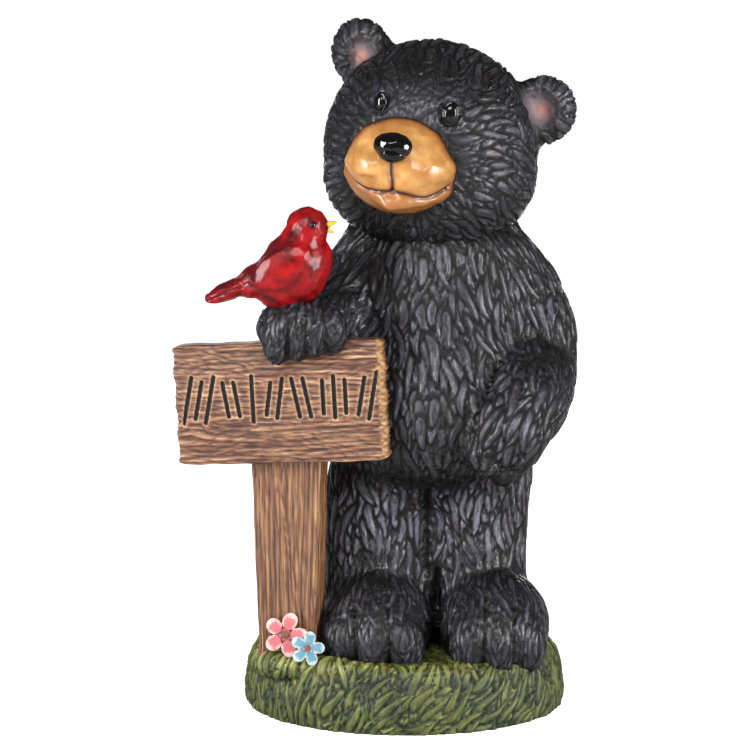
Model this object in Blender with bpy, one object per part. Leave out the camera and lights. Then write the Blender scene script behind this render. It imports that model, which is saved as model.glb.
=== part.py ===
"""A cast resin garden bear that leans on a sign post, with a bird on its paw, on a grassy base.

The statue is one hollow casting in life and one solid here. Metres, +Z up, front towards -Y,
origin in the middle of the base's underside.
"""

import math
import random

import bmesh
import bpy
import numpy as np
from mathutils import Euler, Matrix, Vector
from mathutils.kdtree import KDTree

# Driving dimensions, in metres
BEAR_HEIGHT = 0.385  # from the soles to the tip of the higher ear
BASE_WIDTH = 0.200
BASE_DEPTH = 0.168
BASE_HEIGHT = 0.035
SOLE_SINK = 0.004  # how deep the soles and the post stand in the grass
BOARD_WIDTH = 0.127
BOARD_HEIGHT = 0.072
BOARD_THICKNESS = 0.014
BOARD_GRAIN_PITCH = 0.0080
BOARD_LET_IN = 0.003  # how deep the post's front is let into the board's back
POST_TOP_WIDTH = 0.046
POST_FOOT_WIDTH = 0.035
POST_THICKNESS = 0.027
POST_GRAIN_PITCH = 0.0070
GRAIN_DEPTH = 0.0011
STROKE_HEIGHT = 0.027  # the shallow strokes in the place of the inscription
STROKE_WIDTH = 0.0044
STROKE_DEPTH = 0.0018
BIRD_LENGTH = 0.090
PINK_FLOWER_WIDTH = 0.027
BLUE_FLOWER_WIDTH = 0.021
PETAL_THICKNESS = 0.0044
MOUTH_WIDTH = 0.0036
MOUTH_DEPTH = 0.0030
GROOVE_PROUD = 0.0005  # how far the groove's cutter stands proud of the face
LOCK_LENGTH = 0.044  # the coarse locks of the coat
LOCK_WIDTH = 0.0150
LOCK_DEPTH = 0.0052
BLADE_PITCH = 0.0090  # from one coarse blade of the grass to the next around the base
BLADE_DEPTH = 0.0050

# How finely the free forms are made
BODY_CELL = 0.0034
BEAR_CELL = 0.0026
BIRD_CELL = 0.0013
BEAR_TRIANGLES = 5000
BIRD_TRIANGLES = 420
FLOWER_TRIANGLES = 170
BASE_TRIANGLES = 1300

# The bear is sculpted at 385 mm and scaled to BEAR_HEIGHT, the bird at 90 mm to BIRD_LENGTH
BEAR_MM = BEAR_HEIGHT / 385
BIRD_MM = BIRD_LENGTH / 90

BEAR_STAND = Vector((0.09 * BASE_WIDTH, 0.0, BASE_HEIGHT - SOLE_SINK))
SIGN_YAW = math.radians(-8)
SIGN_ROLL = math.radians(-3)

COAT = (0.018, 0.018, 0.021)


def on_bear(x, y, z):
    """A place on the bear, from millimetres right of its middle, behind it and above its soles."""
    return BEAR_STAND + BEAR_MM * Vector((x, y, z))


SIGN_TOP = on_bear(-90, -55, 199)  # the middle of the board's upper edge, under the paw
BIRD_PLACE = on_bear(-83, -64, 241)  # the middle of the bird's body, on the paw


def empty_scene():
    for obj in list(bpy.data.objects):
        bpy.data.objects.remove(obj)


def paint(name, colour, roughness):
    material = bpy.data.materials.new(name)
    material.use_nodes = True
    shader = material.node_tree.nodes["Principled BSDF"]
    shader.inputs["Base Color"].default_value = (*colour, 1.0)
    shader.inputs["Roughness"].default_value = roughness
    shader.inputs["Metallic"].default_value = 0.0
    return material


def add_object(name, bm):
    mesh = bpy.data.meshes.new(name)
    bm.to_mesh(mesh)
    bm.free()
    obj = bpy.data.objects.new(name, mesh)
    bpy.context.scene.collection.objects.link(obj)
    return obj


def ball(bm, centre, radii, turn=(0, 0, 0), fineness=3):
    """An ellipsoid. Turn is in degrees about X, Y and Z."""
    place = Matrix.LocRotScale(centre, Euler(map(math.radians, turn)), Vector(radii))
    bmesh.ops.create_icosphere(bm, subdivisions=fineness, radius=1.0, matrix=place)


def bear_ball(bm, x, y, z, radii, turn=(0, 0, 0)):
    ball(bm, on_bear(x, y, z), BEAR_MM * Vector(radii), turn)


def limb(bm, joints, beads=6):
    """A tapering limb through joints of (x, y, z, radius), as a string of overlapping balls."""
    for start, end in zip(joints, joints[1:]):
        for i in range(beads + 1):
            x, y, z, radius = Vector(start).lerp(Vector(end), i / beads)
            bear_ball(bm, x, y, z, (radius, radius, radius))


def hide_as_helper(obj):
    obj.hide_render = True
    obj.display_type = "WIRE"


def settle(obj):
    """Bakes the object's modifiers into its mesh."""
    graph = bpy.context.evaluated_depsgraph_get()
    mesh = bpy.data.meshes.new_from_object(obj.evaluated_get(graph))
    obj.modifiers.clear()
    obj.data = mesh


def fuse(obj, cell, smoothing):
    """Melts the overlapping balls of a form into one skin and softens the creases between them."""
    remesh = obj.modifiers.new("fuse", "REMESH")
    remesh.mode = "VOXEL"
    remesh.voxel_size = cell
    soften = obj.modifiers.new("soften", "SMOOTH")
    soften.factor = 0.5
    soften.iterations = smoothing
    settle(obj)


def thin(obj, triangles):
    """Collapses a form to about so many triangles, which keeps its ridges and creases."""
    obj.data.calc_loop_triangles()
    reduce = obj.modifiers.new("thin", "DECIMATE")
    reduce.ratio = min(1.0, triangles / len(obj.data.loop_triangles))
    settle(obj)


# The bear's form


def body_masses(bm):
    bear_ball(bm, 1, 3, 168, (63, 56, 80))
    bear_ball(bm, 1, -8, 152, (59, 55, 54))
    bear_ball(bm, 1, 0, 212, (59, 51, 54))
    bear_ball(bm, 0, 0, 243, (62, 44, 32))
    bear_ball(bm, -1, 2, 266, (52, 44, 30))
    bear_ball(bm, 1, 26, 128, (51, 41, 48))
    limb(bm, [(28, 6, 116, 34), (27, 6, 85, 31), (27, 5, 50, 30), (28, 4, 16, 30)])
    limb(bm, [(-31, 6, 116, 34), (-36, 6, 85, 33), (-38, 5, 50, 33), (-38, 4, 16, 33)])
    limb(bm, [(50, 5, 226, 25), (61, 1, 200, 26), (63, -5, 170, 24), (56, -24, 158, 26)])
    limb(bm, [(-46, 4, 228, 26), (-58, -16, 212, 23), (-68, -38, 204, 21), (-76, -54, 206, 20)])


def tail(bm):
    bear_ball(bm, 1, 64, 112, (14, 14, 15))


def feet(bm):
    for x, turn in ((-35, 3), (35, -5)):
        bear_ball(bm, x, -20, 24, (34, 38, 30), (0, 0, turn))
        bear_ball(bm, x, -18, 32, (29, 30, 24), (0, 0, turn))
    for x, y in ((-57, -42), (-39, -50), (-19, -50), (-6, -40)):
        bear_ball(bm, x, y, 17, (11.5, 17, 22), (24, 0, 0))
    for x, y in ((5, -40), (19, -50), (38, -50), (56, -42)):
        bear_ball(bm, x, y, 17, (11.5, 17, 22), (24, 0, 0))


def hanging_paw(bm):
    """The forearm and paw that lie across the belly."""
    limb(bm, [(58, -24, 160, 27), (51, -42, 150, 25), (43, -52, 141, 22)])
    for x, y, z in ((30, -58, 147), (30, -61, 138), (36, -60, 130), (45, -56, 124)):
        bear_ball(bm, x, y, z, (15, 12, 8), (0, -40, 12))


def resting_paw(bm):
    """The paw that lies over the upper edge of the sign."""
    bear_ball(bm, -78, -62, 208, (27, 21, 18))
    for x, y, z in ((-92, -70, 201), (-79.5, -73, 203), (-68, -73, 205), (-57, -69, 207)):
        bear_ball(bm, x, y, z, (8.0, 9.5, 15), (12, 0, 0))


def head(bm):
    bear_ball(bm, -3, -10, 309, (62, 56, 59), (0, 13, 0))
    bear_ball(bm, -3, -12, 293, (63, 52, 46))


def ears(bm):
    bear_ball(bm, -44, 4, 364, (20.5, 10.5, 23), (8, 0, -22))
    bear_ball(bm, 63, -10, 331, (21.5, 10.5, 21), (8, 18, 6))
    bear_ball(bm, -38, 2, 350, (15, 12, 14))
    bear_ball(bm, 52, -6, 327, (15, 12, 14))


def muzzle(bm):
    bear_ball(bm, -20, -54, 297, (35, 38, 25), (0, 8, -12))
    bear_ball(bm, -21, -56, 310, (23, 34, 20), (0, 4, -12))
    bear_ball(bm, -26, -62, 280, (20, 26, 9), (0, 6, -12))


def nose_and_eyes(bm):
    bear_ball(bm, -25, -89, 311, (11, 7.5, 8.5), (12, 8, -12))
    bear_ball(bm, -31, -55, 335, (4.5, 4, 6))
    bear_ball(bm, 8, -64, 330, (5.5, 4, 7))


EAR_DISHES = (((-46, -7, 364), 12.5), ((62, -21, 331), 13.5))  # middle and radius, in bear millimetres
EAR_DISH_DEPTH = 5

# Where the coat is combed which way: a place on the bear and a direction
COMB = (
    ((0, -60, 330), (0, 0, 1)),
    ((0, 0, 370), (0.2, 1, 0)),
    ((0, 50, 310), (0, 0, -1)),
    ((50, -40, 310), (1, 0.4, -0.2)),
    ((-60, -30, 300), (-1, 0.4, -0.4)),
    ((45, -45, 270), (0.6, 0.3, -1)),
    ((-40, -45, 270), (-0.6, 0.3, -1)),
    ((0, -50, 255), (0, 0, -1)),
    ((35, -45, 215), (0.35, 0, -1)),
    ((-35, -45, 215), (-0.35, 0, -1)),
    ((0, -60, 150), (0, 0, -1)),
    ((0, 60, 180), (0, 0, -1)),
    ((85, 0, 210), (0.1, -0.1, -1)),
    ((70, -35, 170), (-0.7, -0.5, -0.6)),
    ((40, -60, 140), (-0.8, -0.3, -0.5)),
    ((-60, -20, 225), (-0.5, -1, -0.3)),
    ((-80, -80, 205), (0, -0.4, -1)),
    ((30, 0, 80), (0, 0, -1)),
    ((-30, 0, 80), (0, 0, -1)),
    ((35, -40, 45), (0.1, -1, -0.6)),
    ((-35, -40, 45), (-0.1, -1, -0.6)),
    ((35, -60, 15), (0, -0.3, -1)),
    ((-35, -60, 15), (0, -0.3, -1)),
)
COMB_REACH = 34


def combed(place):
    """The way the coat lies at a place, blended from the nearest comb marks."""
    way = Vector()
    for mark, direction in COMB:
        away = (place - on_bear(*mark)).length / (COMB_REACH * BEAR_MM)
        way += math.exp(-away * away) * Vector(direction).normalized()
    return way if way.length > 1e-6 else Vector((0, 0, -1))


def off_the_coat(place):
    """How bare a place is: the muzzle, nose, eyes and the inside of the ears have no locks."""
    bare = ((-22, -62, 300), 44), ((-31, -57, 335), 9), ((8, -66, 330), 10), *EAR_DISHES
    return any((place - on_bear(*middle)).length < BEAR_MM * radius for middle, radius in bare)


def growth(height, way, normal, lean):
    """A direction across the surface for hair or grass, with a little lean to one side."""
    along = (way - way.dot(normal) * normal).normalized()
    return (along + lean * normal.cross(along)).normalized()


def lay_locks(obj, way_at, bare, length, width, depth, seed):
    """Carves overlapping pointed locks, each a rounded ridge that rises from its root to its tip."""
    dice = random.Random(seed)
    mesh = obj.data
    places = np.array([v.co for v in mesh.vertices])
    normals = [v.normal.copy() for v in mesh.vertices]
    tree = KDTree(len(places))
    for i, place in enumerate(places):
        tree.insert(place, i)
    tree.balance()
    roots = KDTree(len(places))
    rise = np.zeros(len(places))
    taken = set()
    order = list(range(len(places)))
    dice.shuffle(order)
    spacing = 0.95 * width
    for i in order:
        cell = tuple(int(c // spacing) for c in places[i])
        if cell in taken:
            continue
        taken.add(cell)
        root = Vector(places[i])
        if bare(root):
            continue
        along = growth(root, way_at(root), normals[i], dice.uniform(-0.3, 0.3))
        across = normals[i].cross(along)
        reach = length * dice.uniform(0.75, 1.15)
        level = depth * dice.uniform(0.7, 1.0)
        near = [n for _, n, _ in tree.find_range(root + along * reach / 2, reach * 0.6)]
        offset = places[near] - np.array(root)
        t = np.clip(offset @ np.array(along) / reach, 0, 1)
        half = 0.5 * width * np.sqrt(np.clip(4 * t * (1 - t), 0, 1))
        side = (offset @ np.array(across)) / np.maximum(half, 1e-6)
        on_this_side = np.abs(offset @ np.array(normals[i])) < width
        ridge = np.sqrt(np.clip(1 - side * side, 0, 1)) * (0.45 + 0.55 * t) * on_this_side
        rise[near] = np.maximum(rise[near], level * ridge)
    for vertex, normal, height in zip(mesh.vertices, normals, rise):
        if height > 0:
            vertex.co += float(height - 0.5 * depth) * normal


def dish_ears(obj):
    """Hollows the front of each ear."""
    depth = EAR_DISH_DEPTH * BEAR_MM
    for middle, radius in EAR_DISHES:
        centre = on_bear(*middle)
        for vertex in obj.data.vertices:
            flat = Vector((vertex.co.x - centre.x, 0, vertex.co.z - centre.z)).length
            share = flat / (radius * BEAR_MM)
            if share < 1 and abs(vertex.co.y - centre.y) < radius * BEAR_MM and vertex.normal.y < -0.2:
                vertex.co.y += depth * (1 - share * share)


MOUTH = (
    (-51, 298), (-46, 293), (-41, 291), (-33, 289), (-26, 289), (-19, 286), (-12, 284), (-3, 285), (6, 289),
    (10, 293),
)
LIP_CLEFT = ((-26.3, 307), (-26.3, 303), (-26.3, 297), (-26.6, 290), (-26.8, 287.5))


def face_groove(obj, name, marks):
    """Cuts a pointed groove along marks that are seen from the front, right of and above the soles."""
    ahead = Vector((0, 1, 0))
    path = []
    for x, z in marks:
        start = on_bear(x, -200, z)
        path.append(obj.ray_cast(start, ahead)[1] - GROOVE_PROUD * ahead)
    bm = bmesh.new()
    rings = []
    for before, here, after in zip(path, path[1:], path[2:]):
        side = (after - before).cross(ahead).normalized() * MOUTH_WIDTH / 2
        deep = ahead * MOUTH_DEPTH
        rings.append([bm.verts.new(here + offset) for offset in (side, deep, -side, -deep)])
    for ring, following in zip(rings, rings[1:]):
        for i in range(4):
            bm.faces.new((ring[i - 1], ring[i], following[i], following[i - 1]))
    for end, ring in ((path[0], rings[0]), (path[-1], rings[-1])):
        tip = bm.verts.new(end)
        for i in range(4):
            bm.faces.new((ring[i - 1], ring[i], tip))
    bmesh.ops.recalc_face_normals(bm, faces=bm.faces)
    cutter = add_object(name, bm)
    hide_as_helper(cutter)
    cut = obj.modifiers.new(name, "BOOLEAN")
    cut.operation = "DIFFERENCE"
    cut.object = cutter
    settle(obj)
    bpy.data.objects.remove(cutter)


def bear():
    body = bmesh.new()
    body_masses(body)
    masses = add_object("body_masses", body)
    fuse(masses, BODY_CELL, 34)
    whole = bmesh.new()
    whole.from_mesh(masses.data)
    bpy.data.objects.remove(masses)
    for shape in (tail, feet, hanging_paw, resting_paw, head, ears, muzzle, nose_and_eyes):
        shape(whole)
    obj = add_object("bear_statue", whole)
    fuse(obj, BEAR_CELL, 4)
    dish_ears(obj)
    lay_locks(obj, combed, off_the_coat, LOCK_LENGTH, LOCK_WIDTH, LOCK_DEPTH, seed=3)
    thin(obj, BEAR_TRIANGLES)
    face_groove(obj, "mouth", MOUTH)
    face_groove(obj, "lip_cleft", LIP_CLEFT)
    return obj


# The grassy base

BLADES = 2 * round(math.pi * (BASE_WIDTH + BASE_DEPTH) / 4 / BLADE_PITCH)
BASE_RINGS = (  # shares of the half width and of the height, then how far each tier of blades stands out
    (0.950, 0.00, 0.6, 0.0),
    (0.955, 0.26, 1.0, 0.1),
    (0.950, 0.50, 0.5, 0.7),
    (0.925, 0.74, 0.0, 1.0),
    (0.885, 0.97, 0.0, 0.8),
    (0.820, 0.93, 0.3, 0.0),
    (0.720, 1.05, 0.0, 0.6),
    (0.600, 0.97, 0.5, 0.0),
    (0.300, 1.03, 0.0, 0.0),
)
BLADE_LEAN = 0.35  # how far each ring is turned on from the one below, in blades


def grassy_base():
    """An oval cushion fluted with leaning blades, whose odd and even ones stand out by turns."""
    dice = random.Random(5)
    stand = [dice.uniform(0.6, 1.3) for _ in range(BLADES)]
    bm = bmesh.new()
    ring = bmesh.ops.create_circle(bm, cap_ends=True, segments=BLADES, radius=1.0)["verts"]
    ring.sort(key=lambda v: math.atan2(v.co.y, v.co.x))
    edges = list({e for v in ring for e in v.link_edges})
    for level, (share, height, lower, upper) in enumerate(BASE_RINGS):
        if level:
            made = bmesh.ops.extrude_edge_only(bm, edges=edges)["geom"]
            edges = [g for g in made if isinstance(g, bmesh.types.BMEdge)]
            fresh = [g for g in made if isinstance(g, bmesh.types.BMVert)]
            above = {v: e.other_vert(v) for v in ring for e in v.link_edges if e.other_vert(v) in fresh}
            ring = [above[v] for v in ring]
        for i, v in enumerate(ring):
            turn = 2 * math.pi * (i + BLADE_LEAN * level) / BLADES
            out = BLADE_DEPTH * stand[i] * (lower, upper)[i % 2]
            tip = 0.09 * BASE_HEIGHT * stand[i] * (i % 2) if height > 0.9 else 0
            v.co.x = (share * BASE_WIDTH / 2 + out) * math.cos(turn)
            v.co.y = (share * BASE_DEPTH / 2 + out) * math.sin(turn)
            v.co.z = height * BASE_HEIGHT + tip
    bmesh.ops.contextual_create(bm, geom=edges)
    bmesh.ops.recalc_face_normals(bm, faces=bm.faces)
    obj = add_object("grassy_base", bm)
    thin(obj, BASE_TRIANGLES)
    for vertex in obj.data.vertices:
        if vertex.co.z < 0.02 * BASE_HEIGHT:
            vertex.co.z = 0
    return obj


# The sign

def cut_along(bm, axis, cuts):
    """Cuts every edge that runs along one axis into cuts + 1 pieces."""
    edges = [
        e for e in bm.edges if abs((e.verts[0].co - e.verts[1].co).normalized()[axis]) > 0.999
    ]
    bmesh.ops.subdivide_edges(bm, edges=edges, cuts=cuts, use_grid_fill=True)


def wander(a, b):
    """A smooth repeatable unevenness between -1 and 1."""
    return math.sin(2.1 * a + 1.3 * math.sin(0.9 * b)) * math.cos(1.7 * b + 0.8 * math.sin(1.1 * a))


def plank(name, size, grain, rows, stations):
    """A weathered plank whose grain runs along one axis, 0 for X or 2 for Z, in raised ridges."""
    bm = bmesh.new()
    bmesh.ops.create_cube(bm, size=1.0, matrix=Matrix.Diagonal((*size, 1)))
    across = 2 - grain
    cut_along(bm, across, 2 * rows - 1)
    cut_along(bm, grain, stations)
    row_height = size[across] / (2 * rows)
    for v in bm.verts:
        row = round((v.co[across] + size[across] / 2) / row_height)
        along = v.co[grain] / row_height
        inside = 0 < row < 2 * rows
        if inside:
            v.co[across] += 0.25 * row_height * wander(0.35 * along, row)
        depth = GRAIN_DEPTH * (row % 2) * (1 + 0.4 * wander(row, 0.5 * along))
        v.co.y -= math.copysign(depth, v.co.y)
        if abs(v.co[grain]) > 0.499 * size[grain]:
            v.co[grain] -= math.copysign(GRAIN_DEPTH * (1.2 * (row % 2) + wander(row, 2)), v.co[grain])
    return add_object(name, bm)


# Each group of parallel strokes: how many, their lean in degrees, and their heights as shares
STROKE_GROUPS = (
    (3, 13, (1.0, 0.8, 1.0)), (2, -8, (0.74, 0.74)), (1, 0, (1.0,)), (2, 10, (0.7, 0.86)),
    (2, -10, (0.84, 0.84)), (3, 0, (0.72, 0.9, 0.72)), (2, 12, (0.8, 1.0)),
)
STROKE_PITCH = 1.5 * STROKE_WIDTH


def stroke_cutter():
    """A row of leaning strokes in groups, which spell nothing."""
    bm = bmesh.new()
    run = 0.94 * BOARD_WIDTH
    gap_count = len(STROKE_GROUPS) - 1
    filled = sum((count - 1) * STROKE_PITCH for count, _, _ in STROKE_GROUPS)
    gap = (run - filled) / (gap_count + 1)
    x = -run / 2 + gap / 2
    surface = STROKE_WIDTH / 2 - STROKE_DEPTH - BOARD_THICKNESS / 2
    for count, lean, heights in STROKE_GROUPS:
        for share in heights:
            radii = Vector((STROKE_WIDTH / 2, STROKE_WIDTH / 2, share * STROKE_HEIGHT / 2))
            turn = Euler((0, math.radians(lean), 0))
            matrix = Matrix.LocRotScale(Vector((x, surface, 0.04 * BOARD_HEIGHT)), turn, radii)
            bmesh.ops.create_uvsphere(bm, u_segments=4, v_segments=2, radius=1.0, matrix=matrix)
            x += STROKE_PITCH
        x += gap - STROKE_PITCH
    return add_object("stroke_cutter", bm)


def place_on_sign(obj, place):
    obj.rotation_euler = (0, SIGN_ROLL, SIGN_YAW)
    obj.location = place


def sign_board():
    rows = round(BOARD_HEIGHT / BOARD_GRAIN_PITCH)
    size = (BOARD_WIDTH, BOARD_THICKNESS, BOARD_HEIGHT)
    board = plank("sign_board", size, grain=0, rows=rows, stations=5)
    strokes = stroke_cutter()
    hide_as_helper(strokes)
    cut = board.modifiers.new("strokes", "BOOLEAN")
    cut.operation = "DIFFERENCE"
    cut.object = strokes
    settle(board)
    bpy.data.objects.remove(strokes)
    place_on_sign(board, SIGN_TOP - Vector((0, 0, BOARD_HEIGHT / 2)))
    return board


def sign_post():
    foot = BASE_HEIGHT - SOLE_SINK
    top = SIGN_TOP.z - BOARD_HEIGHT / 2
    rows = round(POST_TOP_WIDTH / POST_GRAIN_PITCH)
    post = plank("sign_post", (POST_TOP_WIDTH, POST_THICKNESS, top - foot), grain=2, rows=rows, stations=2)
    for v in post.data.vertices:
        down = 0.5 - v.co.z / (top - foot)
        v.co.x *= 1 + down * (POST_FOOT_WIDTH / POST_TOP_WIDTH - 1)
    front = SIGN_TOP.y + BOARD_THICKNESS / 2 - BOARD_LET_IN
    middle = SIGN_TOP.x + 0.03 * BOARD_WIDTH
    post.rotation_euler = (0, 0, SIGN_YAW)
    post.location = (middle, front + POST_THICKNESS / 2, (top + foot) / 2)
    return post


# The bird


def bird_ball(bm, x, y, z, radii, turn=(0, 0, 0)):
    ball(bm, BIRD_PLACE + BIRD_MM * Vector((x, y, z)), BIRD_MM * Vector(radii), turn)


def bird():
    bm = bmesh.new()
    bird_ball(bm, 0, 0, 0, (26, 18, 19), (0, -40, 0))
    bird_ball(bm, 5, 0, 0, (17, 17, 19))
    bird_ball(bm, 9.5, -1, 27, (11.5, 11, 11.5))
    bird_ball(bm, 8, -1, 16, (13.5, 13, 13))
    bird_ball(bm, -19, 0, -5, (15, 12, 10), (0, -28, 0))
    bird_ball(bm, -35, 0, -11, (17, 9, 5.5), (0, -22, 0))
    for side in (-1, 1):
        bird_ball(bm, -6, side * 13, 2, (21, 6, 12), (0, -36, side * 8))
    bird_ball(bm, 21.5, -1, 30.0, (6, 3, 2.2), (0, -2, 0))
    bird_ball(bm, 21.0, -1, 25.0, (6, 2.8, 2.0), (0, -26, 0))
    obj = add_object("bird", bm)
    fuse(obj, BIRD_CELL, 4)
    thin(obj, BIRD_TRIANGLES)
    return obj


# The flowers at the post's foot

PETALS = 5


def flower(name, place, width, facing):
    """A disc of round petals that faces a way, given in degrees about X and Z."""
    bm = bmesh.new()
    petal_length = 0.34 * width
    for i in range(PETALS):
        turn = 2 * math.pi * (i + 0.25) / PETALS
        centre = Vector((math.sin(turn), 0, math.cos(turn))) * (width / 2 - petal_length / 2)
        radii = Vector((0.25 * width, PETAL_THICKNESS / 2, petal_length * 0.62))
        matrix = Matrix.LocRotScale(centre, Euler((0, turn, 0)), radii)
        bmesh.ops.create_icosphere(bm, subdivisions=2, radius=1.0, matrix=matrix)
    bmesh.ops.create_icosphere(
        bm, subdivisions=2, radius=1.0,
        matrix=Matrix.Diagonal((0.2 * width, 0.62 * PETAL_THICKNESS, 0.2 * width, 1)),
    )
    obj = add_object(name, bm)
    fuse(obj, width / 34, 2)
    thin(obj, FLOWER_TRIANGLES)
    tilt, yaw = facing
    obj.rotation_euler = (math.radians(tilt), 0, math.radians(yaw))
    obj.location = place
    return obj


def join_all(statue, pieces):
    """Makes the pieces one casting with the statue."""
    for piece in pieces:
        union = statue.modifiers.new(piece.name, "BOOLEAN")
        union.operation = "UNION"
        union.object = piece
        hide_as_helper(piece)


def main():
    empty_scene()
    statue = bear()
    base = grassy_base()
    post_front = SIGN_TOP.y + BOARD_THICKNESS / 2 - BOARD_LET_IN
    foot = Vector((SIGN_TOP.x, post_front, BASE_HEIGHT))
    pink = flower("pink_flower", foot + Vector((0.001, -0.0015, 0.017)), PINK_FLOWER_WIDTH, (-12, -8))
    blue = flower("blue_flower", foot + Vector((0.016, -0.004, 0.009)), BLUE_FLOWER_WIDTH, (-22, 14))
    join_all(statue, [base, sign_post(), sign_board(), bird(), pink, blue])
    statue.data.materials.append(paint("coat_paint", COAT, 0.4))


main()
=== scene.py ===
# %% [markdown]
# # A painted resin garden bear
# This lesson dresses one casting: a black bear that rests a paw on a sign, with a red bird on the paw.
# The solid model is loaded first and stays where it is. Every piece below is a finer skin over it.
# The real statue is sculpted once, cast in resin and painted by hand in thin coats, so each piece
# here is a form, then a carving, then a paint that follows the carving.

# %% Load the solid model
import math

import bmesh
import bpy
import numpy as np
from mathutils import Euler, Matrix, Vector
from mathutils.kdtree import KDTree


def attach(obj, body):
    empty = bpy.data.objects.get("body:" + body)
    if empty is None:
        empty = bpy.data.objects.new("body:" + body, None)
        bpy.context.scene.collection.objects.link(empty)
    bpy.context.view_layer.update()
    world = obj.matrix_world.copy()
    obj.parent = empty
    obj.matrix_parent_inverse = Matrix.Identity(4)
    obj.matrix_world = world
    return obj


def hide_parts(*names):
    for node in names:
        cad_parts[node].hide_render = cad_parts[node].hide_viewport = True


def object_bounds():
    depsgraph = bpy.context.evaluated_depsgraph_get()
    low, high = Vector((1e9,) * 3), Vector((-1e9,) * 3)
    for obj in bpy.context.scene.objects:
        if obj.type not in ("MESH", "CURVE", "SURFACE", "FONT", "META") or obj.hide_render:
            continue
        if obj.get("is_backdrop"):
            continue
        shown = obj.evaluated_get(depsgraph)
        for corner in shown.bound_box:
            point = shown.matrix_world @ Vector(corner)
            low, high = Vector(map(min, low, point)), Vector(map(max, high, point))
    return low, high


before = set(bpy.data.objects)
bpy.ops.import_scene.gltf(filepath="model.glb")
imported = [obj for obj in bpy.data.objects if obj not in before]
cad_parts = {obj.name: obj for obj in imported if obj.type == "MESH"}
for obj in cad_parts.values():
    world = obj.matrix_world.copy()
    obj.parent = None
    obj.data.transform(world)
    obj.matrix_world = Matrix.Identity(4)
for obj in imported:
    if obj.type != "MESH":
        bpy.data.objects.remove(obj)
cad_low, cad_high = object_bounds()
MM = 0.001
print("the casting is", [round(side / MM) for side in cad_high - cad_low], "mm")

# %% [markdown]
# ## Places on the bear
# The bear was sculpted at one height, so its forms keep their places as shares of that height. They
# are given in millimetres right of the bear's middle, behind it and above its soles, which is how a
# sculptor would measure the clay. The soles stand a little way down in the grass.

# %% Where the bear stands
SOLES = 31 * MM
SCULPTED_HEIGHT = 385.6
BEAR_MM = (cad_high.z - SOLES) / SCULPTED_HEIGHT
BEAR_STAND = Vector((18 * MM, 0, SOLES))


def on_bear(x, y, z):
    return BEAR_STAND + BEAR_MM * Vector((x, y, z))


print("one sculptor's millimetre is", round(BEAR_MM / MM, 3), "mm")

# %% [markdown]
# ## Forms from clay balls
# A sculptor starts from balls and sausages pressed together. A voxel remesh does the pressing: it
# melts overlapping balls into one skin of even squares, and smoothing rounds the creases between
# them. The even squares matter, because the fur is carved by moving their corners.


# %% Add a ball, a limb and an object
def ball(bm, centre, radii, turn=(0, 0, 0)):
    place = Matrix.LocRotScale(centre, Euler(map(math.radians, turn)), Vector(radii))
    bmesh.ops.create_icosphere(bm, subdivisions=4, radius=1.0, matrix=place)


def bear_ball(bm, x, y, z, radii, turn=(0, 0, 0)):
    ball(bm, on_bear(x, y, z), BEAR_MM * Vector(radii), turn)


def limb(bm, joints, placed=False):
    """A sausage through joints that are each a place and a radius, on the bear or already placed."""
    beads = 8
    for start, end in zip(joints, joints[1:]):
        for i in range(beads + 1):
            x, y, z, radius = Vector(start).lerp(Vector(end), i / beads)
            if placed:
                ball(bm, Vector((x, y, z)), (radius, radius, radius))
            else:
                bear_ball(bm, x, y, z, (radius, radius, radius))


def add_object(name, bm):
    mesh = bpy.data.meshes.new(name)
    bm.to_mesh(mesh)
    bm.free()
    obj = bpy.data.objects.new(name, mesh)
    bpy.context.scene.collection.objects.link(obj)
    return obj


# %% Melt the balls into one skin
def settle(obj):
    graph = bpy.context.evaluated_depsgraph_get()
    mesh = bpy.data.meshes.new_from_object(obj.evaluated_get(graph))
    obj.modifiers.clear()
    obj.data = mesh


def fuse(obj, cell, smoothing):
    remesh = obj.modifiers.new("fuse", "REMESH")
    remesh.mode = "VOXEL"
    remesh.voxel_size = cell
    soften = obj.modifiers.new("soften", "SMOOTH")
    soften.factor = 0.5
    soften.iterations = smoothing
    settle(obj)


def faces_of(obj):
    return sum(len(p.vertices) - 2 for p in obj.data.polygons)


# %% [markdown]
# ## Reading and moving a mesh
# Thousands of corners move at once, so they are read into arrays, moved there, and written back.


# %% Points, normals and painted values as arrays
def read_points(obj):
    count = len(obj.data.vertices)
    points, normals = np.empty(3 * count, np.float32), np.empty(3 * count, np.float32)
    obj.data.vertices.foreach_get("co", points)
    obj.data.vertices.foreach_get("normal", normals)
    return points.reshape(-1, 3).astype(float), normals.reshape(-1, 3).astype(float)


def write_points(obj, points):
    obj.data.vertices.foreach_set("co", points.astype(np.float32).ravel())
    obj.data.update()


def paint_values(obj, name, values):
    values = np.asarray(values, np.float32)
    kind = "FLOAT_VECTOR" if values.ndim == 2 else "FLOAT"
    layer = obj.data.attributes.get(name) or obj.data.attributes.new(name, kind, "POINT")
    layer.data.foreach_set("vector" if values.ndim == 2 else "value", values.ravel())


def tree_of(points):
    tree = KDTree(len(points))
    for i, point in enumerate(points):
        tree.insert(point, i)
    tree.balance()
    return tree


def unit(vectors):
    return vectors / np.maximum(np.linalg.norm(vectors, axis=-1, keepdims=True), 1e-9)


def nearness(points, marks):
    """How near each point is to any mark, from 0 to 1. A mark is a place on the bear, a reach, a weight."""
    near = np.zeros(len(points))
    for place, reach, weight in marks:
        away = np.linalg.norm(points - np.array(on_bear(*place)), axis=1) / (reach * BEAR_MM)
        near = np.maximum(near, weight * np.exp(-away * away))
    return near


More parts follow.
